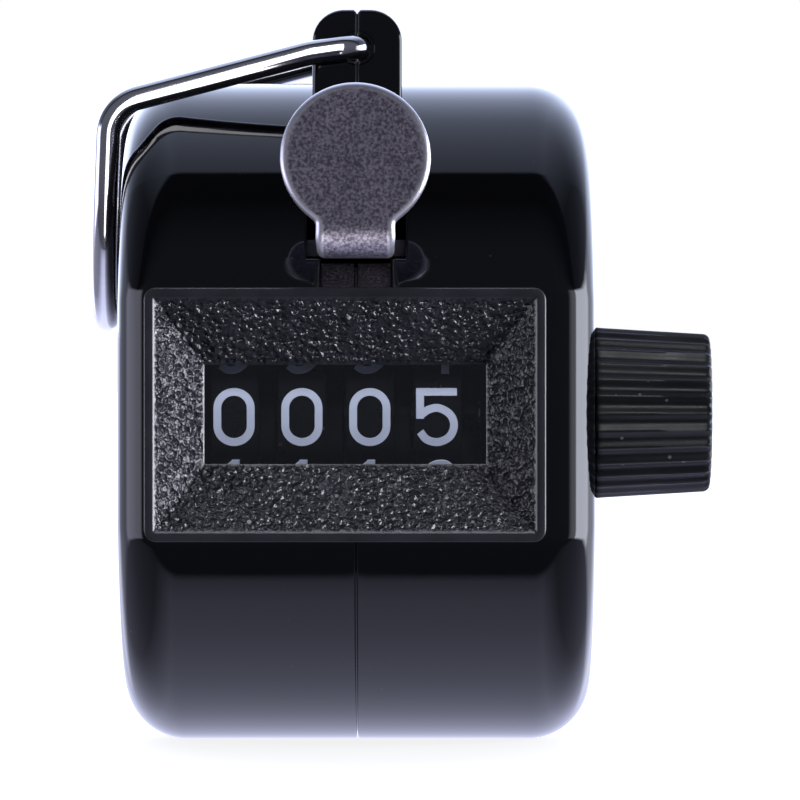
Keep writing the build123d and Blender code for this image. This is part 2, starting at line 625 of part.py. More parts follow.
# ---- finger ring ----
def finger_ring():
    """The wire bail: two ends in the lug, two legs over the case and a half circle at the side."""
    foot = Vector(RING_FOOT[0], 0, RING_FOOT[1])
    corner = Vector(RING_CORNER[0], 0, RING_CORNER[1])
    down = (foot - corner).normalized()
    loop_middle = foot - down * RING_HALF_WIDTH
    across = Vector(0, RING_HALF_WIDTH, 0)
    end_y = LUG_HALF_THICKNESS - RING_END_DEPTH
    front_points = [
        (0, -end_y, RING_PIVOT_Z),
        (0, -RING_HALF_WIDTH, RING_PIVOT_Z),
        (RING_KNEE[0], -RING_HALF_WIDTH, RING_KNEE[1]),
        (RING_CORNER[0], -RING_HALF_WIDTH, RING_CORNER[1]),
        tuple(loop_middle - across),
    ]
    bends = [RING_END_BEND_R, RING_KNEE_R, RING_CORNER_R]
    front_leg = FilletPolyline(*front_points, radius=bends)
    loop = ThreePointArc(loop_middle - across, foot, loop_middle + across)
    back_leg = front_leg.mirror(Plane.XZ)
    path = Wire(front_leg.edges() + loop.edges() + back_leg.edges())
    start = Plane(origin=path @ 0, z_dir=path % 0)
    return sweep(start * Circle(RING_WIRE_R), path=path)


def build():
    """Every piece by its name."""
    pieces = {}
    pieces["left_shell"], pieces["right_shell"] = case_halves()
    pieces["window_bezel"] = bezel()
    pieces["window_lens"] = lens()
    pieces["left_side_plate"] = side_plate(LEFT_PLATE_X)
    pieces["right_side_plate"] = side_plate(RIGHT_PLATE_INNER_X)
    pieces["fulcrum_rod"] = frame_rod(FULCRUM)
    pieces["detent_rod"] = frame_rod(DETENT_ROD)
    pieces["rear_post"] = frame_rod(REAR_POST)
    pieces["left_spacer"] = shaft_spacer(LEFT_PLATE_INNER_X, WHEELS_LEFT_X - WHEEL_GAP)
    pieces["right_spacer"] = shaft_spacer(WHEELS_RIGHT_X + WHEEL_GAP, RIGHT_PLATE_INNER_X)
    pieces["detent_comb"] = detent_comb()
    pieces["reset_shaft"] = reset_shaft()
    pieces["shaft_clip"] = shaft_clip()
    pieces["reset_knob"] = reset_knob()
    for number, name in enumerate(WHEEL_NAMES):
        middle_x = FIRST_WHEEL_X + number * WHEEL_PITCH
        pieces[name + "_wheel"] = number_wheel(middle_x, SHOWN_DIGITS[number])
        pieces[name + "_reset_pawl"] = reset_pawl(middle_x, SHOWN_DIGITS[number])
    pieces["thumb_lever"] = thumb_lever()
    pieces["return_spring"] = return_spring()
    pieces["pawl_pin"] = cylinder_x(PAWL_PIN_R, LEFT_ARM_X, RIGHT_ARM_X, PAWL_PIVOT)
    pieces["drive_pawl"] = drive_pawl()
    pieces["pawl_spring"] = pawl_spring()
    pieces["finger_ring"] = finger_ring()
    return pieces


os.makedirs("parts", exist_ok=True)
for piece_name, piece in build().items():
    export_step(piece, os.path.join("parts", piece_name + ".step"))
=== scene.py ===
"""A hand tally counter: round gloss-black case, number window, thumb lever, reset knob and finger ring."""

import bmesh
import bpy
import numpy as np
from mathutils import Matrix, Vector


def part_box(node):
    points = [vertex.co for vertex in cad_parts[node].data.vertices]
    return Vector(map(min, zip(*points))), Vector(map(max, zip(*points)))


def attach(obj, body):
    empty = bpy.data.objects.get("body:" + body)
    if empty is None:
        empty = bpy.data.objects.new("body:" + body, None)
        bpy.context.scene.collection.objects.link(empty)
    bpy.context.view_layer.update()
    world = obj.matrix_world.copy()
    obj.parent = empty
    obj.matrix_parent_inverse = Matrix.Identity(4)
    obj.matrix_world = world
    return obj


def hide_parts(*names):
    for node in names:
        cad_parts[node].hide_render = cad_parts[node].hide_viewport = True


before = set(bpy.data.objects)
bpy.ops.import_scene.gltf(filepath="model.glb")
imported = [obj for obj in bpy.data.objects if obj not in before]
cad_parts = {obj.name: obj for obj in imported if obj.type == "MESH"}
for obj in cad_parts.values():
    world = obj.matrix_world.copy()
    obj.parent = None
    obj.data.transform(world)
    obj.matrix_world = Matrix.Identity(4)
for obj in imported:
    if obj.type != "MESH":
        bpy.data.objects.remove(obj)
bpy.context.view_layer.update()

MM = 0.001    # every size below is in millimetres; meshes and the scene are in metres


# ---- grids, tubes and turned shapes ----
def between(keys, step):
    """Every key value in turn, with even steps of at most one step's length between neighbours."""
    runs = []
    for a, b in zip(keys, keys[1:]):
        count = max(2, int(np.ceil((b - a) / step)) + 1)
        runs.append(np.linspace(a, b, count)[:-1])
    return np.concatenate(runs + [[keys[-1]]])


def smooth_min(a, b, width):
    """The lower of two values, eased where they cross: half of their sum less the root of their squared
    difference and squared width."""
    return (a + b - np.sqrt((a - b) ** 2 + width ** 2)) / 2


def quarter_drop(distance, radius):
    """How far a quarter-round edge has fallen away at a distance from it: the full radius at the edge and
    nothing one radius in."""
    reach = np.clip(1 - distance / radius, 0, 1)
    return radius * (1 - np.sqrt(1 - reach ** 2))


def grid_quads(rows, columns, close_rows=False, close_columns=False):
    """Quads between neighbouring points of a grid numbered row by row, as rows x columns x 4 numbers."""
    row = np.arange(rows if close_rows else rows - 1)[:, None]
    column = np.arange(columns if close_columns else columns - 1)[None, :]
    next_row = (row + 1) % rows
    next_column = (column + 1) % columns
    corners = (row * columns + column, row * columns + next_column,
               next_row * columns + next_column, next_row * columns + column)
    return np.stack(np.broadcast_arrays(*corners), axis=-1)


class Shape:
    """Points and faces gathered from several surfaces, before they become one mesh."""

    def __init__(self):
        self.points = []
        self.faces = []
        self.marks = []
        self.count = 0

    def add(self, points, faces, mark=0):
        """Takes points of any grid layout, faces numbered from those points, and the points' marks."""
        flat = np.asarray(points, float).reshape(-1, 3)
        self.points.append(flat)
        self.marks.append(np.broadcast_to(mark, np.shape(points)[:-1]).ravel().astype(float))
        self.faces += (np.asarray(faces).reshape(-1, np.shape(faces)[-1]) + self.count).tolist()
        self.count += len(flat)

    def add_grid(self, points, close_rows=False, close_columns=False, cap=False, mark=0):
        """Takes a grid of points as a surface; cap closes its first and last rows with flat faces."""
        rows, columns = points.shape[:2]
        first = self.count
        self.add(points, grid_quads(rows, columns, close_rows, close_columns), mark)
        if cap:
            self.faces.append(list(range(first, first + columns)))
            self.faces.append(list(range(first + (rows - 1) * columns, first + rows * columns)))

    def piece(self, name, body, material, *replaced, slot=None, sharp=38.0, merge=2e-4):
        """Makes the mesh object: doubles merged, normals outward, smooth but for edges sharper than given.
        The points' marks become its attribute "mark"."""
        mesh = bpy.data.meshes.new(name)
        mesh.from_pydata((np.concatenate(self.points) * MM).tolist(), [], self.faces)
        mesh.attributes.new("mark", "FLOAT", "POINT").data.foreach_set("value", np.concatenate(self.marks))
        work = bmesh.new()
        work.from_mesh(mesh)
        bmesh.ops.remove_doubles(work, verts=work.verts, dist=merge * MM)
        loose = [v for v in work.verts if not v.link_faces]
        bmesh.ops.delete(work, geom=loose, context="VERTS")
        bmesh.ops.recalc_face_normals(work, faces=work.faces)
        work.to_mesh(mesh)
        work.free()
        mesh.polygons.foreach_set("use_smooth", np.ones(len(mesh.polygons), bool))
        mesh.set_sharp_from_angle(angle=np.radians(sharp))
        mesh.materials.append(material)
        made = bpy.data.objects.new(name, mesh)
        bpy.context.scene.collection.objects.link(made)
        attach(made, body)
        if replaced:
            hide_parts(*replaced)


def turned(profile, place, steps=64):
    """A profile of (x, radius) pairs turned about the line along X through place (y, z)."""
    profile = np.asarray(profile, float)
    angle = np.arange(steps) * 2 * np.pi / steps
    x = np.broadcast_to(profile[:, :1], (len(profile), steps))
    y = place[0] + profile[:, 1:] * np.cos(angle)
    z = place[1] + profile[:, 1:] * np.sin(angle)
    return np.stack([x, y, z], axis=-1)


# ---- case ----
CASE_R = 25.0
CASE_FLAT = 23.2              # the flat front's distance from the case's axis
CASE_HALF = 17.6
CASE_WALL = 2.0
CASE_EDGE = 4.6
CREASE_EASE = 0.12
CREASE_ROWS = np.array([0, 0.7, 1.6])       # degrees from the crease to the rows beside it
BEZEL_LOW, BEZEL_HIGH = (np.array(corner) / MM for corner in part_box("window_bezel"))
OPENING_LIP = 0.37            # the bezel's front covers its opening by this much
SLOT_HALF = 3.6
SLOT_Z = (11.5, 17.7)
SLOT_EDGE = 0.25
EDGE_SHARES = np.array([0, 0.08, 0.25, 0.55, 1])
CHANNEL_HALF = 2.55
CHANNEL_DEPTH = 0.6
CHANNEL_WALL = np.array([(-0.15, 1), (0, 0.93), (0.02, 0.2), (0.07, 0.08), (0.15, 0.02), (0.25, 0)])
# each row of CHANNEL_WALL is a distance past the channel's side and the share of its depth there
SEAM_HALF = 0.05
SEAM_DEPTH = 0.5
SEAM_EDGE = 0.12
SHAFT = (-10.5, 0.0)
SHAFT_HOLE = 1.7
JOIN_CIRCLE = 20.6
JOIN_ANGLES = (81.0, 26.0, -26.0, -98.5)
JOIN_BORE = {-1: (1.0, -2.9), 1: (1.03, 3.3)}    # radius and end of the left half's pin, the right's socket
BOSS_R = 2.6
BOSS_EDGE = 0.15
BOSS_ROOT = 0.3               # how far a boss runs into the wall
SEAM_PLAY = 0.02
ROD_BORE_R = 1.28
ROD_BORE_DEPTH = 1.6
ROD_PLACES = ((-4.0, -14.0), (-9.5, -12.2), (6.0, 11.0))
PLATE_FACE = {-1: 13.5, 1: 12.7}     # where the rod bosses end at each side


def case_radius(angle, inset):
    """The case's outline at an angle from the front, set in by an even depth: a circle cut flat at the
    front, with the crease eased."""
    flat = (CASE_FLAT - inset) / np.maximum(np.cos(angle), 0.2)
    return smooth_min(CASE_R - inset, flat, CREASE_EASE)


def case_rows():
    """Angles round the case from the front, closer together at the crease, the window and the slot, and the
    angles of the window's and the slot's edges."""
    opening = np.degrees(np.arctan((BEZEL_HIGH[2] - OPENING_LIP) / CASE_FLAT))
    crease = np.degrees(np.arccos(CASE_FLAT / CASE_R)) + CREASE_ROWS
    slot = np.degrees(np.arcsin(np.array(SLOT_Z) / CASE_R))
    edge = np.degrees(SLOT_EDGE / CASE_R) * EDGE_SHARES
    lower = np.concatenate([[-180], -crease[::-1], [-opening]])
    upper = np.concatenate([[opening], crease, slot[0] - edge[::-1], slot[1] + edge, [180 - 1e-6]])
    rows = between(np.concatenate([lower, upper]), 2.0)[:-1]
    return rows, opening, slot


def case_half(side):
    """One half of the case: its outer and inner points and which outer faces are kept. Each row goes out from
    the seam, over the rounded end and in to the middle of the flat end; the inner surface follows a wall's
    thickness under it. The faces over the window and the lever's slot are left out."""
    rows, opening, slot = case_rows()
    angle = np.radians(rows)[:, None]
    reach = (BEZEL_HIGH[0] if side > 0 else -BEZEL_LOW[0]) - OPENING_LIP
    roll_at_opening = np.arcsin(np.clip((reach - CASE_HALF + CASE_EDGE) / CASE_EDGE, 0, 1))

    turn = np.linspace(0, np.pi / 2, 5)
    seam_x = np.concatenate([[0, SEAM_HALF], SEAM_HALF + SEAM_EDGE * (1 - np.cos(turn))])
    seam_in = np.concatenate([[SEAM_DEPTH, SEAM_DEPTH], SEAM_EDGE * (1 - np.sin(turn))])
    channel = CHANNEL_HALF + CHANNEL_WALL[:, 0]
    roll_x = CASE_HALF - CASE_EDGE
    keys = np.concatenate([[seam_x[-1]], channel, SLOT_HALF + SLOT_EDGE * EDGE_SHARES, [roll_x]])
    flat_x = between(keys, 1.2)[1:]
    roll = between([0, roll_at_opening, np.pi / 2], np.radians(4.5))[1:]
    cap = np.linspace(0, 1, 9)[1:]
    on_cap = np.ones(len(cap))

    x = np.concatenate([seam_x, flat_x, CASE_HALF - CASE_EDGE * (1 - np.sin(roll)), CASE_HALF * on_cap])
    inset = np.concatenate([seam_in, 0 * flat_x, CASE_EDGE * (1 - np.cos(roll)), CASE_EDGE * on_cap])
    inner_edge = CASE_EDGE - CASE_WALL
    inner_x = np.concatenate([seam_x, flat_x, roll_x + inner_edge * np.sin(roll),
                              (CASE_HALF - CASE_WALL) * on_cap])
    inner_in = np.concatenate([0 * seam_x, 0 * flat_x, inner_edge * (1 - np.cos(roll)),
                               inner_edge * on_cap]) + CASE_WALL

    height = CASE_R * np.sin(angle)
    beyond = np.hypot(np.maximum(x - SLOT_HALF, 0),
                      np.maximum(np.maximum(SLOT_Z[0] - height, height - SLOT_Z[1]), 0))
    dip = quarter_drop(np.where(np.cos(angle) > 0, beyond, 9), SLOT_EDGE)
    in_channel = np.interp(rows, [opening, opening + 0.8, slot[0], slot[0] + 0.1], [0, 1, 1, 0])[:, None]
    dip = dip + in_channel * np.interp(x, channel, CHANNEL_DEPTH * CHANNEL_WALL[:, 1])
    slot_inside = np.degrees(np.arcsin(np.array(SLOT_Z) / (CASE_R - CASE_WALL)))
    opening_inside = np.degrees(np.arctan((BEZEL_HIGH[2] - OPENING_LIP) / (CASE_FLAT - CASE_WALL)))
    inner_angle = np.radians(np.interp(
        rows, [-180, -45, -opening, opening, *slot, 75, 180],
        [-180, -45, -opening_inside, opening_inside, *slot_inside, 75, 180]))[:, None]

    def place(angles, depths, xs):
        """Puts rows and columns into space, the end's columns drawn in towards the shaft."""
        radius = case_radius(angles, depths)
        y = -radius * np.cos(angles)
        z = radius * np.sin(angles)
        drawn = np.concatenate([np.zeros(len(xs) - len(cap)), cap])
        hole = SHAFT_HOLE if side > 0 else 0
        y = y + drawn * (SHAFT[0] - hole * np.cos(angles) - y)
        z = z + drawn * (SHAFT[1] + hole * np.sin(angles) - z)
        return np.stack([np.broadcast_to(side * xs, y.shape), y, z], axis=-1)

    outer = place(angle, inset + dip, x)
    inner = place(inner_angle, inner_in + 0 * angle, inner_x)
    middle = (rows + np.append(rows[1:], 180)) / 2
    middle_x = (x[1:] + x[:-1]) / 2
    over_window = (np.abs(middle) < opening)[:, None] & (middle_x < reach) & (middle_x < CASE_HALF - 0.1)
    over_slot = ((middle > slot[0]) & (middle < slot[1]))[:, None] & (middle_x < SLOT_HALF)
    kept = ~(over_window | over_slot)
    return outer, inner, kept


def shell_faces(kept, open_end):
    """Faces of a wall made of an outer grid of points and an inner grid of the same layout, closed round in
    rows: kept quads on both, and quads from one to the other wherever kept meets left out."""
    rows, columns = kept.shape[0], kept.shape[1] + 1
    quads = grid_quads(rows, columns, close_rows=True)[kept]
    inner_first = rows * columns
    end = np.zeros((rows, 1), bool) if open_end else kept[:, -1:]
    row = np.arange(rows)[:, None]
    sides = np.concatenate([np.zeros((rows, 1), bool), kept, end], axis=1)
    i, j = np.nonzero(sides[:, 1:] != sides[:, :-1])
    a, b = i * columns + j, (i + 1) % rows * columns + j
    across = np.stack([a, b, b + inner_first, a + inner_first], axis=-1)
    i, j = np.nonzero(kept != np.roll(kept, 1, axis=0))
    a, b = i * columns + j, i * columns + j + 1
    along = np.stack([a, b, b + inner_first, a + inner_first], axis=-1)
    return np.concatenate([quads, quads + inner_first, across, along])


LUG_HALF_X = 3.325
LUG_HALF_Y = 8.5
LUG_TOP = 30.3
LUG_CORNER = 2.4
LUG_EDGE = 0.5
LUG_ROOT = 22.3
PIVOT_Z = 27.4
RING_HOLE = 0.98
HOLE_LIP = 0.1
HOLE_LIP_R = (1.22, 1.3)
HOLE_DEPTH = 5.0
NOTCH = 0.22                  # depth and half width of the notch at the lug's top
FLANK = 0.12                  # width and depth of the seam's slanting sides on the lug's faces
WEB_CLEAR = 1.25              # the webs' distance from the ring's pivot


def lug_radius(angle, inset):
    """The lug's outline at an angle from straight up, seen from the ring's pivot and set in by an even
    depth: the nearest of its side, its top and its foot, or the round corner between the first two."""
    half = LUG_HALF_X - inset
    top = LUG_TOP - PIVOT_Z - inset
    round_r = LUG_CORNER - inset
    sine, cosine = np.sin(angle), np.cos(angle)
    to_side = half / np.maximum(sine, 1e-6)
    to_top = top / np.maximum(cosine, 1e-6)
    to_foot = (PIVOT_Z - LUG_ROOT) / np.maximum(-cosine, 1e-6)
    straight = np.minimum(np.minimum(to_side, to_top), to_foot)
    corner_x, corner_z = half - round_r, top - round_r
    along = sine * corner_x + cosine * corner_z
    root = along ** 2 - corner_x ** 2 - corner_z ** 2 + round_r ** 2
    curved = along + np.sqrt(np.maximum(root, 0))
    in_corner = (straight * sine > corner_x) & (straight * cosine > corner_z)
    return np.where(in_corner, curved, straight)


def lug_half(side):
    """Half of the lug, as rays from the ring's pivot: each ray runs out from the front hole, over its raised
    lip, the front face and the rounded edge, back along the side, and in again at the back. The second
    result marks the flanks of the seam on its two faces."""
    near_seam = np.degrees(np.arcsin(np.array([0, 0.03, 0.06, 0.09, FLANK, 0.2, 0.3]) / 2.9))
    angle = np.radians(between(np.concatenate([near_seam, 180 - near_seam[::-1]]), 5.0))
    face_edge = lug_radius(angle, LUG_EDGE)
    hole_end, lip_y = HOLE_DEPTH - LUG_HALF_Y, -LUG_HALF_Y - HOLE_LIP
    rings = [(0, hole_end), (RING_HOLE, hole_end), (RING_HOLE, -LUG_HALF_Y), (RING_HOLE + 0.04, lip_y),
             (HOLE_LIP_R[0], lip_y), (HOLE_LIP_R[1], -LUG_HALF_Y)]
    for share in (0.25, 0.5, 0.75):
        rings.append((HOLE_LIP_R[1] + share * (face_edge - HOLE_LIP_R[1]), -LUG_HALF_Y))
    for turn in np.linspace(0, np.pi / 2, 7):
        inset, sink = LUG_EDGE * (1 - np.sin(turn)), LUG_EDGE * (1 - np.cos(turn))
        rings.append((lug_radius(angle, inset), sink - LUG_HALF_Y))
    rings += [(radius, -y) for radius, y in rings[::-1]]
    radius = np.stack([radius + 0 * angle for radius, _ in rings], axis=1)
    x = SEAM_HALF + radius * np.sin(angle)[:, None]
    z = PIVOT_Z + radius * np.cos(angle)[:, None]
    y = np.broadcast_to([y for _, y in rings], x.shape).copy()
    notch = NOTCH * np.clip(1 - (x - SEAM_HALF) / NOTCH, 0, 1) ** 1.4
    z -= np.where((radius > lug_radius(angle, 0.3)[:, None]) & (z > PIVOT_Z), notch, 0)
    flank = np.clip(FLANK - (x - SEAM_HALF), 0, None)
    on_face = np.abs(y) > LUG_HALF_Y - 0.2
    y -= np.where(on_face, np.sign(y) * flank, 0)
    return np.stack([side * x, y, z], axis=-1), np.where(on_face & (flank > 0.05), 1.0, 0.0)


def lug_webs(side):
    """The two thin webs that join the lug's halves behind the groove, one below the ring's hole and one
    above it: oblongs from the middle plane to just past the groove's side."""
    reach = LUG_HALF_Y - SEAM_DEPTH
    x_range = sorted((0, side * SEAM_HALF * 1.2))
    webs = []
    for low, high in ((LUG_ROOT, PIVOT_Z - WEB_CLEAR), (PIVOT_Z + WEB_CLEAR, LUG_TOP - 0.3)):
        oblong = np.array([(-reach, low), (reach, low), (reach, high), (-reach, high)])
        webs.append(plate(oblong, x_range, 0.004))
    return webs


def polar_place(radius, degrees):
    """A point (y, z) at a distance and angle from the case's axis, measured from straight back."""
    return radius * np.cos(np.radians(degrees)), radius * np.sin(np.radians(degrees))


def case_inside(side):
    """The bosses inside one half, as turned profiles: four for the joining pins, three for the rods."""
    wall_x = CASE_HALF - CASE_WALL + BOSS_ROOT
    bore, end = JOIN_BORE[side]
    for degrees in JOIN_ANGLES:
        profile = [(wall_x, 0), (wall_x, BOSS_R), (BOSS_EDGE, BOSS_R),
                   (SEAM_PLAY, BOSS_R - BOSS_EDGE + SEAM_PLAY), (SEAM_PLAY, bore), (end, bore), (end, 0)]
        yield profile, polar_place(JOIN_CIRCLE, degrees)
    face = PLATE_FACE[side]
    for rod_place in ROD_PLACES:
        yield [(wall_x, 0), (wall_x, BOSS_R), (face + BOSS_EDGE, BOSS_R), (face, BOSS_R - BOSS_EDGE),
               (face, ROD_BORE_R), (face + ROD_BORE_DEPTH, ROD_BORE_R), (face + ROD_BORE_DEPTH, 0)], rod_place


def build_case(material):
    """Both halves of the case, each one mesh: shell, lug, its webs and the bosses inside."""
    for side, name in ((-1, "left"), (1, "right")):
        outer, inner, kept = case_half(side)
        shape = Shape()
        shape.add(np.stack([outer, inner]), shell_faces(kept, open_end=side > 0))
        lug, flanks = lug_half(side)
        shape.add_grid(lug, cap=True, mark=flanks)
        for web in lug_webs(side):
            shape.add_grid(web, close_columns=True, cap=True)
        for profile, place in case_inside(side):
            shape.add_grid(turned([(side * x, r) for x, r in profile], place, 32), close_columns=True)
        shape.piece("case_half_" + name, "case", material, name + "_shell", slot="case_black")


# ---- window bezel ----
RIM_CORNER = 0.9
RIM_EDGE = 0.14
BODY_INSET = 0.4              # the frame's body behind its lip
BODY_CORNER = 0.5
WINDOW_HALF = (10.35, 3.65)
LENS_SEAT = 1.43              # from the window's edge to the lens's seat
LENS_WALL = 2.23              # from the window's edge to the outside of the wall round the lens
CORNER_POINTS = 5
SIDE_POINTS = 24


def frame_loop(half_x, half_z, corner, y):
    """A rounded rectangle standing upright at a depth y round the window's middle: four quarter circles
    joined by evenly divided straight sides."""
    middle = (BEZEL_LOW + BEZEL_HIGH) / 2
    turn = np.linspace(0, np.pi / 2, CORNER_POINTS)
    sides = []
    for quarter, (sx, sz) in enumerate(((1, 1), (-1, 1), (-1, -1), (1, -1))):
        angle = turn + quarter * np.pi / 2
        x = sx * (half_x - corner) + corner * np.cos(angle)
        z = sz * (half_z - corner) + corner * np.sin(angle)
        sides.append(np.stack([x, z], axis=-1))
    loop = []
    for arc, following in zip(sides, sides[1:] + sides[:1]):
        share = np.linspace(0, 1, SIDE_POINTS + 2)[1:-1, None]
        loop += [arc, arc[-1] + share * (following[0] - arc[-1])]
    x, z = np.concatenate(loop).T
    return np.stack([middle[0] + x, 0 * x + y, middle[2] + z], axis=-1)


def build_bezel(material):
    """The window's frame as loops carried round a closed profile: lip, rim, sloping faces, window edge, the
    walls that hold the lens and the body behind. The points of the sloping faces are marked."""
    half_x, _, half_z = (BEZEL_HIGH - BEZEL_LOW) / 2
    front, lip_back, window_y, back_y, lens_back = -23.6, -23.2, -20.9, -20.4, -19.55

    def outline(inset, corner, y):
        """The frame's outline, set in."""
        return frame_loop(half_x - inset, half_z - inset, corner, y)

    def around(margin, corner, y):
        """The window's outline, widened."""
        return frame_loop(WINDOW_HALF[0] + margin, WINDOW_HALF[1] + margin, corner, y)

    loops = [outline(BODY_INSET, BODY_CORNER, back_y), outline(BODY_INSET, BODY_CORNER, lip_back),
             outline(0, RIM_CORNER, lip_back), outline(0, RIM_CORNER, front + RIM_EDGE)]
    for turn in np.linspace(0, np.pi / 2, 5):
        inset = RIM_EDGE * (1 - np.cos(turn))
        loops.append(outline(inset, RIM_CORNER - inset, front + RIM_EDGE * (1 - np.sin(turn))))
    loops += [outline(0.60, 0.26, front), outline(0.66, 0.20, front + 0.02)]
    mouth = outline(0.72, 0.14, front + 0.07)
    window = around(0, 0.05, window_y)
    slope_first = len(loops)
    for share in np.linspace(0, 1, 16):
        loops.append(mouth + share * (window - mouth))
    slope_last = len(loops) - 1
    loops += [around(0, 0.05, window_y + 0.06), around(0, 0.05, back_y),
              around(LENS_SEAT, 0.1, back_y), around(LENS_SEAT, 0.1, lens_back),
              around(LENS_WALL, 0.3, lens_back), around(LENS_WALL, 0.3, back_y)]
    shape = Shape()
    grid = np.stack(loops)
    index = np.arange(len(loops))[:, None]
    slope = np.broadcast_to((index > slope_first) & (index < slope_last), grid.shape[:2])
    shape.add_grid(grid, close_rows=True, close_columns=True, mark=slope)
    shape.piece("window_frame", "case", material, "window_bezel", slot="bezel_black", sharp=30)


# ---- number wheels ----
WHEELS = ("thousands", "hundreds", "tens", "units")
SHOWN = {"thousands": 0, "hundreds": 0, "tens": 0, "units": 5}
DRUM_R = 8.65
DRUM_HALF = 1.8
TOOTH_TIP = 6.7
STROKE = 0.6
INK = 0.02
PRINT_DROP = 0.22             # how far the print sits below the middle of its place
STROKES = {
    0: [("oval", 0, 0, 1.23, 1.87)],
    1: [("line", (-0.8, 1.15), (0.1, 1.95)), ("line", (0.1, 2.17), (0.1, -2.17))],
    2: [("curve", (-1.15, 1.0), (-0.85, 1.6), (0, 1.88), (0.9, 1.55), (1.1, 0.9), (0.75, 0.2), (-0.1, -0.7),
         (-1.1, -1.75)),
        ("line", (-1.35, -1.87), (1.35, -1.87))],
    3: [("curve", (-1.1, 1.2), (-0.65, 1.75), (0, 1.88), (0.75, 1.65), (1.0, 1.05), (0.75, 0.4),
         (-0.2, 0.15)),
        ("curve", (-0.2, 0.15), (0.8, -0.12), (1.2, -0.85), (0.85, -1.6), (0, -1.88), (-0.8, -1.7),
         (-1.2, -1.1))],
    4: [("line", (0.55, 2.17), (0.55, -2.17)), ("line", (0.5, 2.0), (-1.2, -0.75)),
        ("line", (-1.4, -0.9), (1.4, -0.9))],
    5: [("line", (1.41, 1.87), (-1.6, 1.87)), ("line", (-1.3, 2.1), (-1.3, -0.12)),
        ("curve", (-1.3, 0.12), (-0.65, 0.56), (0.1, 0.66), (0.9, 0.2), (1.2, -0.6), (0.88, -1.45),
         (0.05, -1.87), (-0.8, -1.68), (-1.3, -1.1))],
    6: [("curve", (1.0, 1.5), (0.45, 1.86), (-0.35, 1.7), (-0.95, 0.9), (-1.2, -0.5)),
        ("oval", 0, -0.65, 1.2, 1.22)],
    7: [("line", (-1.35, 1.87), (1.35, 1.87)),
        ("curve", (1.2, 1.85), (0.3, 0.4), (-0.2, -0.9), (-0.4, -2.17))],
    8: [("oval", 0, 0.98, 1.02, 0.9), ("oval", 0, -0.85, 1.22, 1.02)],
    9: [("oval", 0, 0.65, 1.2, 1.22),
        ("curve", (1.2, 0.5), (0.95, -0.9), (0.35, -1.7), (-0.45, -1.86), (-1.0, -1.5))],
}
TURN_PER_DIGIT = np.radians(36.0)
HUB_BORE = 1.53
HUB_R = 2.9
WEB_X = 0.9                   # where the drum's web starts
DRUM_INNER = 7.35
DRUM_EDGE = 0.14
CHAMFER = 0.1
RATCHET_X = 1.6
ROOT_R, DEEP_ROOT_R = 5.6, 4.6
TOOTH = np.array([(0, 1), (0.01, 0), (6, 0), (14, 0.27), (22, 0.53), (29, 0.77), (35, 0.97)])
# each row of TOOTH is a turn in degrees from the tooth's face and the share of its height there
POST_PLACE = polar_place(5.2, 35)
POST_R = 0.5


def smooth_path(points, per_step=8):
    """A smooth line through its points: between each two, the cubic whose slopes there are half of the step
    between the points on either side."""
    points = np.asarray(points, float)
    padded = np.concatenate([2 * points[:1] - points[1:2], points, 2 * points[-1:] - points[-2:-1]])
    p0, p1, p2, p3 = padded[:-3, None], padded[1:-2, None], padded[2:-1, None], padded[3:, None]
    t = (np.arange(per_step) / per_step)[None, :, None]
    cubic = p1 + t * (p2 - p0) / 2 + t ** 2 * (p0 - 2.5 * p1 + 2 * p2 - p3 / 2)
    cubic = cubic + t ** 3 * (1.5 * (p1 - p2) + (p3 - p0) / 2)
    return np.concatenate([cubic.reshape(-1, points.shape[1]), points[-1:]])


def stroke_path(kind, *values):
    """The middle line of one stroke of a digit, flat, and whether it closes on itself. An oval is two half
    circles joined by straight sides, pressed flat where it is wider than it is high."""
    if kind == "oval":
        x, z, half_x, half_z = values
        turn = np.linspace(0, 2 * np.pi, 73)[:-1] + np.pi / 72
        straight = max(half_z - half_x, 0) * np.sign(np.sin(turn))
        across = x + half_x * np.cos(turn)
        return np.stack([across, z + straight + min(half_x, half_z) * np.sin(turn)], axis=-1), True
    if kind == "curve":
        return smooth_path(values), False
    share = np.linspace(0, 1, 9)[:, None]
    return np.asarray(values[0]) + share * (np.asarray(values[1]) - np.asarray(values[0])), False


def build_digits(name, middle_x, material):
    """The ten printed digits of one wheel: strokes of even width wrapped round the drum a little proud of
    it, each digit a tenth of a turn below the one before."""
    shape = Shape()
    for digit, strokes in STROKES.items():
        lift = TURN_PER_DIGIT * (SHOWN[name] - digit)
        for stroke in strokes:
            path, closed = stroke_path(*stroke)
            if closed:
                along = np.roll(path, -1, axis=0) - np.roll(path, 1, axis=0)
            else:
                along = np.gradient(path, axis=0)
            along = along / np.linalg.norm(along, axis=1, keepdims=True)
            across = np.stack([along[:, 1], -along[:, 0]], axis=-1)
            offset = STROKE * np.array([-0.5, -0.47, 0.47, 0.5])
            height = np.array([-0.06, INK, INK, -0.06])
            flat = path[:, None] + offset[None, :, None] * across[:, None]
            angle = lift + (flat[..., 1] - PRINT_DROP) / DRUM_R
            radius = DRUM_R + height
            grid = np.stack([middle_x + flat[..., 0], SHAFT[0] - radius * np.cos(angle),
                             radius * np.sin(angle)], axis=-1)
            shape.add_grid(grid, close_rows=closed, close_columns=True, cap=not closed)
    shape.piece(name + "_digits", name, material, slot="wheel_black", merge=1e-5)


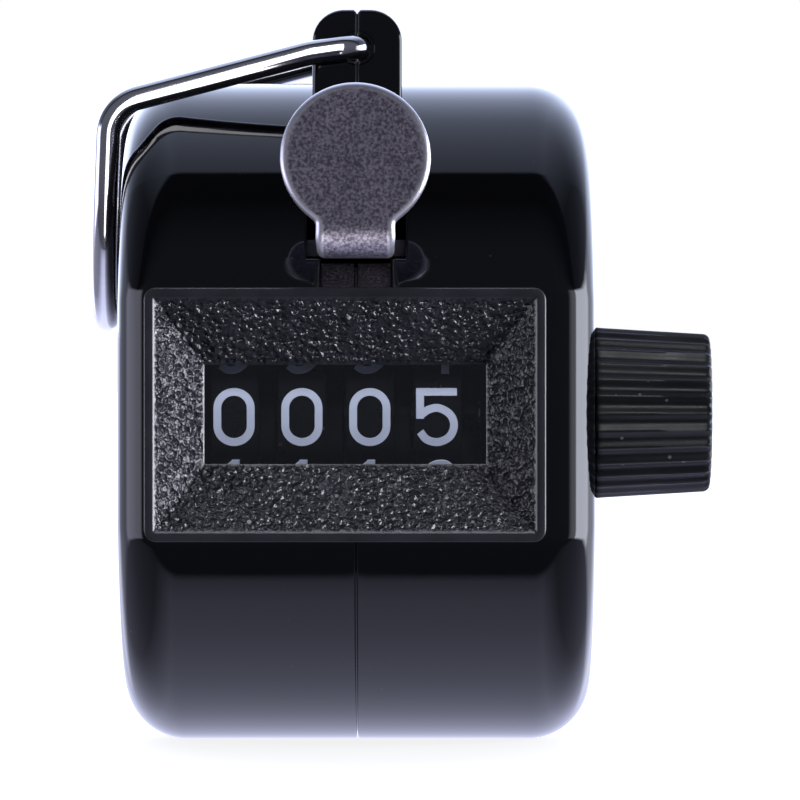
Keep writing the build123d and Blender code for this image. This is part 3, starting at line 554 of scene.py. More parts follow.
def build_wheel(name, wheel_material, digit_material):
    """A hollow drum on its hub as one turned profile, its ten-toothed ratchet, each tooth rising straight and
    falling back in a slope, one of them over a deeper notch, and the post of its reset pawl."""
    low, high = (np.array(corner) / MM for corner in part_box(name + "_wheel"))
    middle_x = low[0] + DRUM_HALF
    end = high[0] - middle_x
    left = [(-DRUM_HALF + DRUM_EDGE * (1 - np.sin(a)), DRUM_R - DRUM_EDGE * (1 - np.cos(a)))
            for a in np.linspace(0, np.pi / 2, 5)]
    profile = [(-DRUM_HALF, HUB_BORE), (-DRUM_HALF, HUB_R - CHAMFER), (-DRUM_HALF + CHAMFER, HUB_R),
               (WEB_X, HUB_R), (WEB_X, DRUM_INNER), (-DRUM_HALF + CHAMFER, DRUM_INNER),
               (-DRUM_HALF, DRUM_INNER + CHAMFER)] + left
    profile += [(-x, r) for x, r in left[::-1]]
    profile += [(DRUM_HALF, HUB_R), (end - CHAMFER, HUB_R), (end, HUB_R - CHAMFER), (end, HUB_BORE)]
    drum = turned(profile, (0, 0), 120)
    tooth = np.arange(10)[:, None]
    angle = np.radians(tooth * 36.0 + TOOTH[:, 0]).ravel()
    root = np.where(tooth == 0, DEEP_ROOT_R, ROOT_R)
    radius = (root + (TOOTH_TIP - root) * TOOTH[:, 1]).ravel()
    columns = [(RATCHET_X, 0.3), (RATCHET_X, 1), (end - 0.12, 1), (end - 0.02, 0.985), (end - 0.02, 0.3)]
    teeth = np.stack([
        np.stack([0 * angle + x, radius * share * np.cos(angle), radius * share * np.sin(angle)], axis=-1)
        for x, share in columns])
    post = turned([(-1.4, 0), (-1.4, POST_R - 0.05), (-1.35, POST_R), (1.2, POST_R), (1.2, 0)],
                  POST_PLACE, 24)
    back = -TURN_PER_DIGIT * SHOWN[name]
    shape = Shape()
    for grid, closed in ((drum, True), (teeth, True), (post, False)):
        x, y, z = np.moveaxis(grid, -1, 0)
        placed = np.stack([middle_x + x, SHAFT[0] + y * np.cos(back) - z * np.sin(back),
                           y * np.sin(back) + z * np.cos(back)], axis=-1)
        shape.add_grid(placed, close_rows=closed, close_columns=True)
    shape.piece(name + "_drum", name, wheel_material, name + "_wheel", slot="wheel_black")
    build_digits(name, middle_x, digit_material)


# ---- reset knob ----
KNOB_STEPS = 300
KNOB_FLUTES = 30


def build_knob(material):
    """The fluted knob, turned about its shaft: its radius tapers evenly, its ends are rounded, and flutes cut
    it by a power of the sine of fifteen times the angle."""
    low, high = (np.array(corner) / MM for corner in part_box("reset_knob"))
    base_r, end_r, flute = 6.42, 5.9, 0.3
    rounding = 0.55
    turn = np.linspace(0, np.pi / 2, 8)
    base = [(low[0], 0), (low[0], 3.0), (low[0], base_r - 0.25), (low[0] + 0.05, base_r - 0.08),
            (low[0] + 0.2, base_r)]
    side_x = np.linspace(low[0] + 0.6, high[0] - rounding, 12)
    side = [(x, base_r + (end_r - base_r) * (x - low[0]) / (high[0] - low[0])) for x in side_x]
    tip_r = side[-1][1]
    tip = [(high[0] - rounding * (1 - np.sin(a)), tip_r - rounding * (1 - np.cos(a))) for a in turn[1:]]
    face = [(high[0], 4.9), (high[0] - 0.03, 4.75), (high[0] - 0.12, 4.6), (high[0] - 0.15, 4.3),
            (high[0] - 0.15, 0)]
    profile = np.array(base + side + tip + face)
    grid = turned(profile, (0, 0), KNOB_STEPS)
    angle = np.arange(KNOB_STEPS) * 2 * np.pi / KNOB_STEPS
    depth = flute * np.abs(np.sin(KNOB_FLUTES / 2 * angle)) ** 1.4
    fluted = np.clip((profile[:, 1] - 4.95) / 0.35, 0, 1)[:, None] * depth
    shrink = 1 - fluted / np.maximum(profile[:, 1:], 1e-3)
    grid[..., 1] = SHAFT[0] + grid[..., 1] * shrink
    grid[..., 2] = SHAFT[1] + grid[..., 2] * shrink
    shape = Shape()
    shape.add_grid(grid, close_columns=True)
    shape.piece("knob_fluted", "reset", material, "reset_knob", slot="knob_black", sharp=50)


# ---- thumb lever ----
PAD_R = 5.45
PAD_Z = 18.7
LEAN = np.radians(8.0)
SHEET = 1.2
NECK_HALF = 2.8
BEND_Y = -29.4
BEND_R = 1.5
TONGUE_Z = 12.25
BRIDGE_Y = (-18.0, -14.2)
ARM_X = (-12.2, 10.4)
ARM = 1.0
FULCRUM = (-4.0, -14.0)
BELOW_DISC = (1.4, 4.4)       # from the disc's foot to the plain neck, and on to the level tongue
FLARE = (0.08, 11.2, 0.7)     # the neck's extra half width, its place along the sheet and its spread
FACE_ROUNDING = {1: 0.58, -1: 0.3}      # at the rims of the outer and the inner face
# width of the rim band marked for polish, where the lever's tint is raised as a painted highlight
RIM_HIGHLIGHT_BAND = 0.42


def lever_line(s):
    """The middle of the lever's sheet at a length s below the pad's top edge, as y, z and the direction of
    its outer face: straight down at the pad's lean, round the bend, then level towards the case."""
    neck_end = PAD_R + (PAD_Z - TONGUE_Z - BEND_R) / np.cos(LEAN)
    pad_y = BEND_Y + (PAD_Z - TONGUE_Z) * np.tan(LEAN)
    bend = np.pi / 2 + LEAN
    turned_by = np.clip((s - neck_end) / BEND_R, 0, bend)
    straight = np.minimum(s, neck_end) - PAD_R
    level = np.maximum(s - neck_end - BEND_R * bend, 0)
    start_y, start_z = pad_y - straight * np.sin(LEAN), PAD_Z - straight * np.cos(LEAN)
    heading = turned_by - LEAN
    y = start_y + BEND_R * (np.cos(-LEAN) - np.cos(heading)) + level
    z = start_z - BEND_R * (np.sin(heading) - np.sin(-LEAN))
    return y, z, -np.cos(heading), -np.sin(heading)


def lever_half_width(s):
    """Half the sheet's width at a length s below the pad's top: the disc, and below it the neck, the wider of
    the two with a small fillet where they meet, and a slight flare above the bend."""
    disc = np.sqrt(np.maximum(PAD_R ** 2 - (s - PAD_R) ** 2, 0))
    extra, place, spread = FLARE
    flare = extra * np.exp(-((s - place) / spread) ** 2)
    neck = np.where(s > PAD_R, NECK_HALF + flare, 0)
    return np.where(s > PAD_R, -smooth_min(-disc, -neck, 0.35), disc)


def build_lever(sheet_material, arm_material):
    """The lever: the pad, neck and tongue as one sheet whose two faces drop away at the rim, which is marked
    for polish and painted with a brighter tint as a painted highlight, and the bridge behind it with its two
    arms."""
    shape = Shape()
    top = PAD_R * (1 - np.cos(np.linspace(0, np.pi / 2, 40)))
    neck_start, neck_end = (2 * PAD_R + length for length in BELOW_DISC)
    lower = between([PAD_R, neck_start, neck_end], 0.14)[1:]
    tongue_end = neck_end + BRIDGE_Y[0] - BEND_Y - 0.4
    s = np.concatenate([top, lower, between([lower[-1], tongue_end], 0.7)[1:]])[:, None]
    half = lever_half_width(s)
    share = np.sin(np.linspace(-np.pi / 2, np.pi / 2, 61))[None, :]
    across = half * share
    to_disc = PAD_R - np.hypot(across, s - PAD_R)
    to_neck = np.where(s > PAD_R, half - np.abs(across), -9)
    edge = np.maximum(np.maximum(to_disc, np.minimum(to_neck, half)), 0)
    edge = np.where((s > 2 * PAD_R) | (to_disc < to_neck), np.maximum(to_neck, 0), edge)
    y, z, out_y, out_z = lever_line(s)
    faces = []
    for sign, rounding in FACE_ROUNDING.items():
        height = sign * (SHEET / 2 - quarter_drop(edge, rounding))
        faces.append(np.stack([across, y + out_y * height, z + out_z * height], axis=-1))
    grid = np.concatenate([faces[0], faces[1][:, ::-1]], axis=1)
    # the rim mark: smoother there, and given a bright tint that is a painted highlight
    rim = np.clip(1.5 - edge / RIM_HIGHLIGHT_BAND, 0, 1)
    shape.add_grid(grid, close_columns=True, cap=True, mark=np.concatenate([rim, rim[:, ::-1]], axis=1))
    shape.piece("lever_sheet", "lever", sheet_material, "thumb_lever", slot="lever_plated", sharp=50,
                merge=1e-5)
    low, high = TONGUE_Z - SHEET / 2, TONGUE_Z + SHEET / 2
    bridge = np.array([(BRIDGE_Y[0], low), (BRIDGE_Y[1], low), (BRIDGE_Y[1], high), (BRIDGE_Y[0], high)])
    shape = Shape()
    bridge_x = (ARM_X[0] + 0.02, ARM_X[1] + ARM - 0.02)
    shape.add_grid(plate(bridge, bridge_x, 0.1), close_columns=True, cap=True)
    fy, fz = FULCRUM
    arm = np.array([(BRIDGE_Y[0], high), (BRIDGE_Y[0], 8.6), (-18.7, 7.4), (-17.2, 6.95), (-13.5, 8.05),
                    (-6.6, 3.6), (fy - 2.4, fz), (fy - 1.7, fz - 1.7), (fy, fz - 2.4), (fy + 1.7, fz - 1.7),
                    (fy + 2.4, fz), (fy + 0.8, 7.2), (BRIDGE_Y[1], high)])
    for x in ARM_X:
        shape.add_grid(plate(arm, (x, x + ARM), 0.12), close_columns=True, cap=True)
    shape.piece("lever_arms", "lever", arm_material, slot="lever_plated", sharp=50)


def plate(outline, x_range, chamfer):
    """A flat plate across X with its edges broken: its (y, z) outline at both faces drawn in a little, and at
    full size between them."""
    middle = outline.mean(axis=0)
    away = outline - middle
    small = outline - chamfer * away / np.linalg.norm(away, axis=1, keepdims=True)
    x0, x1 = x_range
    layers = [(x0, small), (x0 + chamfer, outline), (x1 - chamfer, outline), (x1, small)]
    return np.stack([np.concatenate([np.full((len(yz), 1), x), yz], axis=1) for x, yz in layers])


# ---- finger ring ----
WIRE_R = 0.92
RING_HALF = 11.0
RING_RUNS = ((0, 27.4), (-3.6, 26.9), (-18.55, 23.0))
RING_FOOT = (-19.15, 7.1)
RING_END_Y = -5.0
RING_BENDS = ((1.4, 14), (8.0, 12), (3.0, 20))      # radius and steps of each bend of a leg


def round_corner(before, corner, after, radius, steps):
    """The arc of a radius that touches both lines at a corner: it starts the radius times the tangent of
    half the turn before the corner, and each point is turned on from there."""
    into = (corner - before) / np.linalg.norm(corner - before)
    out = (after - corner) / np.linalg.norm(after - corner)
    turn = np.arccos(np.clip(into @ out, -1, 1))
    start = corner - into * radius * np.tan(turn / 2)
    sideways = out - into * (into @ out)
    sideways = sideways / np.linalg.norm(sideways)
    angle = np.linspace(0, turn, steps)[:, None]
    return start + radius * (into * np.sin(angle) + sideways * (1 - np.cos(angle)))


def ring_path():
    """The wire's middle line: from the lug out to the front leg, over the case, down its left side, round a
    half circle and back the same way."""
    ends = np.array([[0, RING_END_Y, RING_RUNS[0][1]]] + [[x, -RING_HALF, z] for x, z in RING_RUNS], float)
    foot = np.array([RING_FOOT[0], 0, RING_FOOT[1]])
    corner = np.array([RING_RUNS[2][0], 0, RING_RUNS[2][1]])
    down = (foot - corner) / np.linalg.norm(foot - corner)
    middle = foot - RING_HALF * down
    start = middle + [0, -RING_HALF, 0]
    points = list(ends) + [start]
    leg = [ends[:1]]
    for index, (radius, steps) in enumerate(RING_BENDS, 1):
        leg.append(round_corner(points[index - 1], points[index], points[index + 1], radius, steps))
    leg = np.concatenate(leg)
    turn = np.linspace(0, np.pi, 61)[:, None]
    loop = middle + RING_HALF * (np.array([0, -1, 0]) * np.cos(turn) + down * np.sin(turn))
    path = np.concatenate([leg, loop, leg[::-1] * [1, -1, 1]])
    runs = np.linalg.norm(np.diff(path, axis=0), axis=1)
    length = np.concatenate([[0], np.cumsum(runs)])
    fine = np.unique(np.concatenate([length, np.arange(0, length[-1], 0.8)]))
    return np.stack([np.interp(fine, length, path[:, axis]) for axis in range(3)], axis=-1)


def tube(path, radius, steps=28):
    """A round tube along a path: each ring of points stands square to the path, set out by a direction that
    is carried along with as little twist as can be, and the tube's ends are drawn in a little."""
    along = np.gradient(path, axis=0)
    along /= np.linalg.norm(along, axis=1, keepdims=True)
    side = np.cross(along[0], [0.3, 0.2, 1.0])
    sides = np.empty_like(path)
    for index, direction in enumerate(along):
        side = side - direction * (side @ direction)
        side = side / np.linalg.norm(side)
        sides[index] = side
    other = np.cross(along, sides)
    angle = np.arange(steps) * 2 * np.pi / steps
    ring = np.cos(angle)[None, :, None] * sides[:, None] + np.sin(angle)[None, :, None] * other[:, None]
    size = np.full(len(path), radius)
    size[[0, -1]] = 0.85 * radius
    return path[:, None] + size[:, None, None] * ring


def build_ring(material):
    """The bright wire bail."""
    shape = Shape()
    shape.add_grid(tube(ring_path(), WIRE_R - 0.004), close_columns=True, cap=True)
    shape.piece("ring_wire", "ring", material, "finger_ring", slot="ring_chrome", sharp=60)


# ---- materials ----
class Nodes:
    """Short ways to add and join nodes in one tree."""

    def __init__(self, tree):
        self.tree = tree

    def add(self, kind, **settings):
        made = self.tree.nodes.new(kind)
        for name, value in settings.items():
            setattr(made, name, value)
        return made

    def join(self, source, target):
        """Joins an output socket to an input, or sets the input when given a plain value."""
        if isinstance(source, bpy.types.NodeSocket):
            self.tree.links.new(source, target)
        else:
            target.default_value = source

    def math(self, operation, a, b=0.0):
        made = self.add("ShaderNodeMath", operation=operation)
        self.join(a, made.inputs[0])
        self.join(b, made.inputs[1])
        return made.outputs[0]

    def ramp(self, value, low, high, to_low=0.0, to_high=1.0):
        made = self.add("ShaderNodeMapRange", clamp=True)
        for source, target in zip((value, low, high, to_low, to_high), made.inputs):
            self.join(source, target)
        return made.outputs[0]

    def mix(self, share, a, b):
        """Mixes two colours, each an output socket or three plain values."""
        made = self.add("ShaderNodeMix", data_type="RGBA")
        self.join(share, made.inputs[0])
        for colour, target in ((a, made.inputs[6]), (b, made.inputs[7])):
            self.join((*colour, 1) if isinstance(colour, tuple) else colour, target)
        return made.outputs[2]

    def noise(self, vector, scale, detail=3.0, roughness=0.55):
        made = self.add("ShaderNodeTexNoise")
        self.join(vector, made.inputs["Vector"])
        for name, value in (("Scale", scale), ("Detail", detail), ("Roughness", roughness)):
            self.join(value, made.inputs[name])
        return made.outputs["Fac"]

    def place(self, scale=(1, 1, 1)):
        """Object coordinates in millimetres, stretched."""
        mapping = self.add("ShaderNodeMapping")
        mapping.inputs["Scale"].default_value = [1000 * value for value in scale]
        self.join(self.add("ShaderNodeTexCoord").outputs["Object"], mapping.inputs["Vector"])
        return mapping.outputs[0]


def group(name, inputs, outputs):
    """A new shader node group with its named sockets."""
    tree = bpy.data.node_groups.new(name, "ShaderNodeTree")
    for socket, kind, value in inputs:
        made = tree.interface.new_socket(socket, in_out="INPUT", socket_type=kind)
        if value is not None:
            made.default_value = value
    for socket in outputs:
        tree.interface.new_socket(socket, in_out="OUTPUT", socket_type="NodeSocketFloat")
    nodes = Nodes(tree)
    return tree, nodes, nodes.add("NodeGroupInput").outputs, nodes.add("NodeGroupOutput").inputs


def edge_wear_group():
    """Wear on outward edges: how sharply the surface turns there, broken up by noise."""
    tree, nodes, given, out = group("edge_wear", [
        ("Place", "NodeSocketVector", None), ("Low", "NodeSocketFloat", 0.52),
        ("High", "NodeSocketFloat", 0.6), ("Breakup", "NodeSocketFloat", 1.5)], ["Mask"])
    sharpness = nodes.add("ShaderNodeNewGeometry").outputs["Pointiness"]
    edge = nodes.ramp(sharpness, given["Low"], given["High"])
    patches = nodes.ramp(nodes.noise(given["Place"], given["Breakup"], 4), 0.35, 0.65, 0.25, 1.0)
    nodes.join(nodes.math("MULTIPLY", edge, patches), out["Mask"])
    return tree


def dust_group():
    """Dust and handling marks: one small speck in a share of the cells of a cell pattern, fine scratches
    from long thin noise, and smudges from a slow noise."""
    tree, nodes, given, out = group("dust_and_marks", [
        ("Place", "NodeSocketVector", None), ("Speck Size", "NodeSocketFloat", 0.12),
        ("Speck Share", "NodeSocketFloat", 0.4), ("Scratch Scale", "NodeSocketFloat", 1.0)],
        ["Specks", "Scratches", "Smudge"])
    cells = nodes.add("ShaderNodeTexVoronoi", feature="F1")
    nodes.join(given["Place"], cells.inputs["Vector"])
    cells.inputs["Scale"].default_value = 0.9
    cells.inputs["Randomness"].default_value = 1.0
    colour = nodes.add("ShaderNodeSeparateColor")
    nodes.join(cells.outputs["Color"], colour.inputs[0])
    size = nodes.math("MULTIPLY", given["Speck Size"], colour.outputs[0])
    spot = nodes.ramp(nodes.math("SUBTRACT", cells.outputs["Distance"], size), 0.0, 0.03, 1.0, 0.0)
    chosen = nodes.math("LESS_THAN", colour.outputs[1], given["Speck Share"])
    nodes.join(nodes.math("MULTIPLY", spot, chosen), out["Specks"])
    mapping = nodes.add("ShaderNodeMapping")
    mapping.inputs["Scale"].default_value = (0.25, 6.0, 4.0)
    mapping.inputs["Rotation"].default_value = (0.3, 0.7, 0.5)
    nodes.join(given["Place"], mapping.inputs["Vector"])
    streak = nodes.noise(mapping.outputs[0], given["Scratch Scale"], 2)
    nodes.join(nodes.ramp(nodes.math("ABSOLUTE", nodes.math("SUBTRACT", streak, 0.5)), 0.0, 0.006, 1, 0),
               out["Scratches"])
    nodes.join(nodes.noise(given["Place"], 0.12, 4), out["Smudge"])
    return tree


def grain_group():
    """A moulded or blasted grain: cell borders and fine noise added up to one height."""
    tree, nodes, given, out = group("surface_grain", [
        ("Place", "NodeSocketVector", None), ("Cell Scale", "NodeSocketFloat", 2.0),
        ("Fine Scale", "NodeSocketFloat", 8.0), ("Cell Share", "NodeSocketFloat", 0.6)], ["Height", "Tone"])
    bend = nodes.add("ShaderNodeTexNoise")
    nodes.join(given["Place"], bend.inputs["Vector"])
    nodes.join(given["Cell Scale"], bend.inputs["Scale"])
    bend.inputs["Detail"].default_value = 2
    moved = nodes.add("ShaderNodeVectorMath", operation="MULTIPLY_ADD")
    nodes.join(bend.outputs["Color"], moved.inputs[0])
    moved.inputs[1].default_value = (0.5, 0.5, 0.5)
    nodes.join(given["Place"], moved.inputs[2])
    cells = nodes.add("ShaderNodeTexVoronoi", feature="SMOOTH_F1")
    nodes.join(moved.outputs[0], cells.inputs["Vector"])
    nodes.join(given["Cell Scale"], cells.inputs["Scale"])
    cells.inputs["Smoothness"].default_value = 0.6
    fine = nodes.noise(given["Place"], given["Fine Scale"], 4, 0.6)
    body = nodes.math("MULTIPLY", cells.outputs["Distance"], given["Cell Share"])
    rest = nodes.math("MULTIPLY", fine, nodes.math("SUBTRACT", 1.0, given["Cell Share"]))
    nodes.join(nodes.math("ADD", body, rest), out["Height"])
    nodes.join(nodes.ramp(nodes.noise(given["Place"], 0.35, 5), 0.3, 0.7), out["Tone"])
    return tree


EDGE_WEAR = edge_wear_group()
DUST = dust_group()
GRAIN = grain_group()


class Finish(Nodes):
    """One material around a Principled shader, with the shared groups at hand."""

    def __init__(self, name, **plain):
        self.material = bpy.data.materials.new(name)
        self.material.use_nodes = True
        super().__init__(self.material.node_tree)
        self.shader = self.tree.nodes["Principled BSDF"]
        self.object_mm = self.place()
        for socket, value in plain.items():
            self.shader.inputs[socket.replace("_", " ")].default_value = value

    def use(self, tree, **values):
        """Places a shared group, fed with object coordinates in millimetres."""
        made = self.add("ShaderNodeGroup")
        made.node_tree = tree
        self.join(self.object_mm, made.inputs["Place"])
        for socket, value in values.items():
            self.join(value, made.inputs[socket.replace("_", " ")])
        return made.outputs

    def set(self, socket, value):
        self.join(value, self.shader.inputs[socket])

    def bump(self, height, depth, strength=1.0, over=None):
        """A bump of a depth in millimetres, over an earlier one if there is one."""
        made = self.add("ShaderNodeBump")
        self.join(strength, made.inputs["Strength"])
        made.inputs["Distance"].default_value = depth * MM
        self.join(height, made.inputs["Height"])
        if over is not None:
            self.join(over, made.inputs["Normal"])
        self.join(made.outputs[0], self.shader.inputs["Normal"])
        return made.outputs[0]

    def cover(self, colour, mask, share, shade):
        """A colour partly covered by a shade where a mask is set."""
        return self.mix(self.math("MULTIPLY", mask, share), colour, shade)

    def mark(self):
        return self.add("ShaderNodeAttribute", attribute_name="mark").outputs["Fac"]


def gloss_black():
    """Polished moulded black: faint smudges in the gloss, sparse dust, edges worn a little paler, and the
    marked flanks of the seam rougher and painted light grey, a painted highlight along the seam."""
    finish = Finish("gloss_black", IOR=1.5)
    wear = finish.use(EDGE_WEAR, Low=0.53, High=0.62)
    marks = finish.use(DUST, Speck_Size=0.1, Speck_Share=0.12, Scratch_Scale=0.6)
    grain = finish.use(GRAIN, Cell_Scale=1.2, Fine_Scale=5.0)
    colour = finish.mix(wear["Mask"], (0.003, 0.003, 0.0045), (0.02, 0.02, 0.024))
    colour = finish.cover(colour, marks["Specks"], 0.5, (0.12, 0.12, 0.13))
    # painted highlight: the seam's marked flanks are painted light grey to stand for light caught on them
    seam_highlight_mask = finish.mark()
    finish.set("Base Color", finish.mix(seam_highlight_mask, colour, (0.3, 0.3, 0.32)))
    rough = finish.ramp(marks["Smudge"], 0.4, 0.75, 0.035, 0.085)
    rough = finish.math("ADD", rough, finish.math("MULTIPLY", seam_highlight_mask, 0.45))
    rough = finish.math("ADD", rough, finish.math("MULTIPLY", marks["Scratches"], 0.05))
    finish.set("Roughness", finish.math("ADD", rough, finish.math("MULTIPLY", wear["Mask"], 0.12)))
    finish.bump(grain["Height"], 0.004, 0.25)
    return finish.material


def grained_black():
    """Black moulding with a leather grain on its marked faces and a finer satin elsewhere."""
    finish = Finish("grained_black", IOR=1.36)
    grain = finish.use(GRAIN, Cell_Scale=2.1, Fine_Scale=6.0, Cell_Share=0.9)
    satin = finish.use(GRAIN, Cell_Scale=9.0, Fine_Scale=25.0, Cell_Share=0.4)
    marks = finish.use(DUST, Speck_Size=0.14, Speck_Share=0.3)
    wear = finish.use(EDGE_WEAR, Low=0.53, High=0.6)
    sloped = finish.mark()
    colour = finish.mix(grain["Tone"], (0.006, 0.006, 0.008), (0.012, 0.012, 0.015))
    colour = finish.cover(colour, wear["Mask"], 0.5, (0.02, 0.02, 0.024))
    colour = finish.cover(colour, marks["Specks"], 0.6, (0.2, 0.2, 0.21))
    finish.set("Base Color", colour)
    finish.set("Roughness", finish.ramp(sloped, 0, 1, 0.34, 0.24))
    over = finish.bump(satin["Height"], 0.02, 0.35)
    finish.bump(grain["Height"], 0.42, sloped, over)
    return finish.material


def satin_black(name, rough=0.38, specks=0.45, shade=0.008, worn=0.06):
    """Satin moulded black with fine texture, specks of dust and paler worn edges."""
    finish = Finish(name, IOR=1.48)
    grain = finish.use(GRAIN, Cell_Scale=3.0, Fine_Scale=14.0, Cell_Share=0.3)
    marks = finish.use(DUST, Speck_Size=0.13, Speck_Share=specks)
    wear = finish.use(EDGE_WEAR, Low=0.52, High=0.6)
    paler = shade * 1.8
    colour = finish.mix(grain["Tone"], (shade, shade, shade * 1.15), (paler, paler, shade * 2))
    colour = finish.cover(colour, wear["Mask"], 0.6, (worn, worn, worn * 1.08))
    colour = finish.cover(colour, marks["Specks"], 0.7, (0.3, 0.3, 0.31))
    finish.set("Base Color", colour)
    finish.set("Roughness", finish.ramp(grain["Tone"], 0, 1, rough - 0.06, rough + 0.08))
    finish.bump(grain["Height"], 0.03, 0.5)
    return finish.material


def digit_white():
    """Printed white ink: slightly uneven in shade and gloss, with pinholes."""
    finish = Finish("digit_white", IOR=1.45)
    grain = finish.use(GRAIN, Cell_Scale=6.0, Fine_Scale=12.0, Cell_Share=0.3)
    marks = finish.use(DUST, Speck_Size=0.1, Speck_Share=0.15)
    colour = finish.mix(grain["Tone"], (0.60, 0.64, 0.78), (0.68, 0.72, 0.86))
    colour = finish.cover(colour, marks["Specks"], 0.5, (0.3, 0.3, 0.33))
    finish.set("Base Color", colour)
    finish.set("Roughness", finish.ramp(grain["Tone"], 0, 1, 0.45, 0.6))
    finish.bump(grain["Height"], 0.01, 0.4)
    return finish.material


def metal(name, tint, rough, brushed=(1, 1, 1), blotch=0.5, depth=0.006, speckle=0.0, marked=None):
    """Plated or drawn metal: brushed or even grain, cloudy roughness, scratches and bright worn edges, and
    on a blasted face a fine speckle of light and dark. A marked part, if any, gets its own roughness
    and its own brighter tint; that tint is a painted highlight on top of the part's polish."""
    finish = Finish(name, Metallic=1.0)
    finish.object_mm = finish.place(brushed)
    grain = finish.use(GRAIN, Cell_Scale=3.0, Fine_Scale=9.0, Cell_Share=0.25)
    marks = finish.use(DUST, Speck_Size=0.1, Speck_Share=0.25, Scratch_Scale=1.4)
    wear = finish.use(EDGE_WEAR, Low=0.51, High=0.58)
    dark = tuple(value * (1 - 0.35 * blotch) for value in tint)
    colour = finish.mix(grain["Tone"], dark, tint)
    if speckle:
        cloud = finish.noise(finish.object_mm, 4.2, 2.0, 0.6)
        flecks = finish.ramp(cloud, 0.38, 0.64, 1 - speckle, 1 + speckle)
        made = finish.add("ShaderNodeVectorMath", operation="SCALE")
        finish.join(colour, made.inputs[0])
        finish.join(flecks, made.inputs["Scale"])
        colour = made.outputs[0]
    worn = tuple(min(1, value * 1.35 + 0.06) for value in tint)
    colour = finish.cover(colour, wear["Mask"], 0.6, worn)
    roughness = finish.ramp(grain["Tone"], 0, 1, rough * 0.85, rough * 1.25)
    roughness = finish.math("ADD", roughness, finish.math("MULTIPLY", marks["Scratches"], 0.08))
    strength = 0.6
    if marked:
        # the marked part's own tint is a painted highlight; its roughness is its real polish
        highlight_tint, polished_rough = marked
        share = finish.mark()
        colour = finish.mix(share, colour, highlight_tint)
        roughness = finish.ramp(share, 0, 1, roughness, polished_rough)
        strength = finish.ramp(share, 0, 1, 0.6, 0.1)
    finish.set("Base Color", colour)
    finish.set("Roughness", roughness)
    finish.bump(grain["Height"], depth, strength)
    return finish.material


def clear_window():
    """Clear moulded window: full transmission with faint haze, dust and hairlines in its gloss."""
    finish = Finish("clear_window", IOR=1.45, Transmission_Weight=1.0, Metallic=0.0)
    marks = finish.use(DUST, Speck_Size=0.07, Speck_Share=0.3, Scratch_Scale=0.9)
    grain = finish.use(GRAIN, Cell_Scale=2.0, Fine_Scale=4.0)
    finish.set("Base Color", finish.cover((0.97, 0.98, 1.0), marks["Specks"], 0.5, (0.5, 0.5, 0.52)))
    finish.set("Roughness", finish.ramp(marks["Scratches"], 0, 1, 0.01, 0.12))
    finish.bump(grain["Height"], 0.002, 0.15)
    clear = finish.add("ShaderNodeBsdfTransparent")
    clear.inputs[0].default_value = (0.92, 0.93, 0.95, 1)
    through = finish.add("ShaderNodeMixShader")
    finish.join(finish.add("ShaderNodeLightPath").outputs["Is Shadow Ray"], through.inputs[0])
    finish.join(finish.shader.outputs[0], through.inputs[1])
    finish.join(clear.outputs[0], through.inputs[2])
    finish.join(through.outputs[0], finish.tree.nodes["Material Output"].inputs["Surface"])
    return finish.material


def nylon():
    """Natural nylon: milky, faintly mottled, soft gloss."""
    finish = Finish("natural_nylon", IOR=1.5)
    finish.shader.inputs["Subsurface Weight"].default_value = 0.15
    finish.shader.inputs["Subsurface Radius"].default_value = (0.001, 0.0008, 0.0006)
    grain = finish.use(GRAIN, Cell_Scale=2.0, Fine_Scale=9.0, Cell_Share=0.3)
    marks = finish.use(DUST, Speck_Share=0.2)
    colour = finish.mix(grain["Tone"], (0.72, 0.71, 0.66), (0.82, 0.81, 0.77))
    finish.set("Base Color", finish.cover(colour, marks["Specks"], 0.4, (0.3, 0.28, 0.25)))
    finish.set("Roughness", finish.ramp(grain["Tone"], 0, 1, 0.35, 0.5))
    finish.bump(grain["Height"], 0.02, 0.4)
    return finish.material


# ---- the object ----
build_case(gloss_black())
build_bezel(grained_black())
wheel_black = satin_black("wheel_black", rough=0.3, specks=0.12, shade=0.003, worn=0.012)
ink = digit_white()
for wheel in WHEELS:
    build_wheel(wheel, wheel_black, ink)
build_knob(satin_black("knob_black"))
# the lever's marked rim: its tint (0.92, 0.90, 0.95) is a painted highlight beside its polish
build_lever(metal("lever_plated", (0.27, 0.25, 0.30), 0.45, depth=0.07, speckle=0.5,
                  marked=((0.92, 0.90, 0.95), 0.4)),
            metal("lever_inner", (0.25, 0.24, 0.26), 0.4, depth=0.01))
build_ring(metal("ring_chrome", (0.74, 0.73, 0.77), 0.1, blotch=0.3, depth=0.002))

steel = metal("frame_steel", (0.52, 0.52, 0.53), 0.3, brushed=(3, 0.4, 0.4))
rod = metal("rod_steel", (0.58, 0.58, 0.59), 0.22, brushed=(0.3, 3, 3))
spring = metal("spring_steel", (0.45, 0.45, 0.47), 0.25)
acetal = satin_black("spacer_black", rough=0.4, specks=0.05, shade=0.006)
inner_finishes = {
    "window_lens": clear_window(), "drive_pawl": nylon(),
    "left_side_plate": steel, "right_side_plate": steel,
    "fulcrum_rod": rod, "detent_rod": rod, "rear_post": rod, "reset_shaft": rod, "pawl_pin": rod,
    "left_spacer": acetal, "right_spacer": acetal,
    "detent_comb": spring, "shaft_clip": spring, "return_spring": spring, "pawl_spring": spring,
    **{wheel + "_reset_pawl": spring for wheel in WHEELS},
}
for node, finish in inner_finishes.items():
    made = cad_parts[node]
    if not made.material_slots:
        made.data.materials.append(finish)
    for place in made.material_slots:
        place.material = finish


